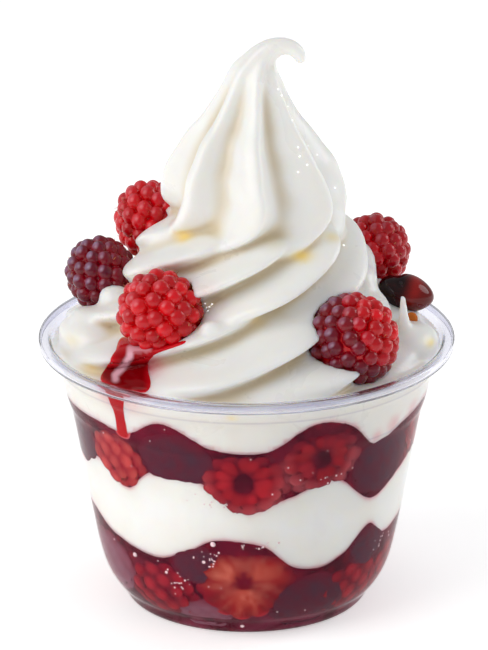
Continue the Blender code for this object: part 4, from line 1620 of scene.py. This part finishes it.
def make_stage():
    stage = settings("stage")
    floor = begin(bpy.ops.mesh.primitive_plane_add, "floor", size=FLOOR_SIZE)
    floor.data.materials.append(floor_finish())
    scene = bpy.context.scene
    scene.world = bpy.data.worlds.new("soft_room")
    scene.world.use_nodes = True
    sky = scene.world.node_tree.nodes["Background"]
    sky.inputs["Color"].default_value = solid(SKY_TINT)
    sky.inputs["Strength"].default_value = stage.sky
    add_light("key_light", stage.key)
    add_light("side_light", stage.rim)
    add_camera()
    scene.view_settings.view_transform = "Standard"
    scene.view_settings.look = "None"


# Operators, one for each piece or group of like pieces, and their panel.

class SUNDAE_OT_cup(bpy.types.Operator):
    """Model the clear cup with its foot, ledges and rolled lip"""

    bl_idname = "sundae.cup"
    bl_label = "Cup"

    def execute(self, context):
        make_cup()
        return {"FINISHED"}


class SUNDAE_OT_soft_serve(bpy.types.Operator):
    """Model the ribbed swirl and the cream under it"""

    bl_idname = "sundae.soft_serve"
    bl_label = "Soft serve"

    def execute(self, context):
        make_soft_serve()
        return {"FINISHED"}


class SUNDAE_OT_cream_band(bpy.types.Operator):
    """Model the wavy layer of cream between the fruit layers"""

    bl_idname = "sundae.cream_band"
    bl_label = "Cream layer"

    def execute(self, context):
        make_cream_band()
        return {"FINISHED"}


class SUNDAE_OT_juice(bpy.types.Operator):
    """Model the juice that fills the fruit layers"""

    bl_idname = "sundae.juice"
    bl_label = "Juice"

    def execute(self, context):
        make_juice()
        return {"FINISHED"}


class SUNDAE_OT_layer_fruit(bpy.types.Operator):
    """Model the berries that are pressed against the wall"""

    bl_idname = "sundae.layer_fruit"
    bl_label = "Fruit in the layers"

    def execute(self, context):
        make_layer_fruit()
        return {"FINISHED"}


class SUNDAE_OT_top_berries(bpy.types.Operator):
    """Model the five berries on the swirl"""

    bl_idname = "sundae.top_berries"
    bl_label = "Berries on top"

    def execute(self, context):
        make_top_berries()
        return {"FINISHED"}


class SUNDAE_OT_cherry(bpy.types.Operator):
    """Model the glazed cherry"""

    bl_idname = "sundae.cherry"
    bl_label = "Cherry"

    def execute(self, context):
        make_cherry()
        return {"FINISHED"}


class SUNDAE_OT_syrup(bpy.types.Operator):
    """Model the syrup under the front raspberry and by the cherry"""

    bl_idname = "sundae.syrup"
    bl_label = "Syrup"

    def execute(self, context):
        make_syrup()
        return {"FINISHED"}


class SUNDAE_OT_bubbles(bpy.types.Operator):
    """Scatter small bubbles in the juice at the wall"""

    bl_idname = "sundae.bubbles"
    bl_label = "Bubbles"

    def execute(self, context):
        make_bubbles()
        return {"FINISHED"}


class SUNDAE_OT_drops(bpy.types.Operator):
    """Set small clear drops on the swirl"""

    bl_idname = "sundae.drops"
    bl_label = "Drops"

    def execute(self, context):
        make_drops()
        return {"FINISHED"}


class SUNDAE_OT_hairs(bpy.types.Operator):
    """Set the fine dry threads on the berries"""

    bl_idname = "sundae.hairs"
    bl_label = "Berry hairs"

    def execute(self, context):
        make_hairs()
        return {"FINISHED"}


class SUNDAE_OT_stage(bpy.types.Operator):
    """Add the floor, the lights and the camera"""

    bl_idname = "sundae.stage"
    bl_label = "Stage"

    def execute(self, context):
        make_stage()
        return {"FINISHED"}


OPERATORS = [
    SUNDAE_OT_cup, SUNDAE_OT_soft_serve, SUNDAE_OT_cream_band, SUNDAE_OT_juice, SUNDAE_OT_layer_fruit,
    SUNDAE_OT_top_berries, SUNDAE_OT_cherry, SUNDAE_OT_syrup, SUNDAE_OT_bubbles, SUNDAE_OT_drops,
    SUNDAE_OT_hairs, SUNDAE_OT_stage,
]


class SUNDAE_PT_sidebar(bpy.types.Panel):
    bl_idname = "SUNDAE_PT_sidebar"
    bl_label = "Soft serve sundae"
    bl_space_type = "VIEW_3D"
    bl_region_type = "UI"
    bl_category = "Sundae"

    def draw(self, context):
        for operator in OPERATORS:
            self.layout.operator(operator.bl_idname)
        for name, group in SETTINGS.items():
            box = self.layout.box()
            box.label(text=name.title())
            for prop in group.__annotations__:
                box.prop(settings(name), prop)


def register():
    for cls in [*SETTINGS.values(), *OPERATORS, SUNDAE_PT_sidebar]:
        bpy.utils.register_class(cls)
    for name, group in SETTINGS.items():
        setattr(bpy.types.Scene, "sundae_" + name, bpy.props.PointerProperty(type=group))


def unregister():
    for name in SETTINGS:
        delattr(bpy.types.Scene, "sundae_" + name)
    for cls in reversed([*SETTINGS.values(), *OPERATORS, SUNDAE_PT_sidebar]):
        bpy.utils.unregister_class(cls)


def main():
    register()
    bpy.ops.sundae.cup()
    bpy.ops.sundae.soft_serve()
    bpy.ops.sundae.cream_band()
    bpy.ops.sundae.juice()
    bpy.ops.sundae.layer_fruit()
    bpy.ops.sundae.top_berries()
    bpy.ops.sundae.cherry()
    bpy.ops.sundae.syrup()
    bpy.ops.sundae.bubbles()
    bpy.ops.sundae.drops()
    bpy.ops.sundae.hairs()
    bpy.ops.sundae.stage()


if __name__ == "__main__":
    main()
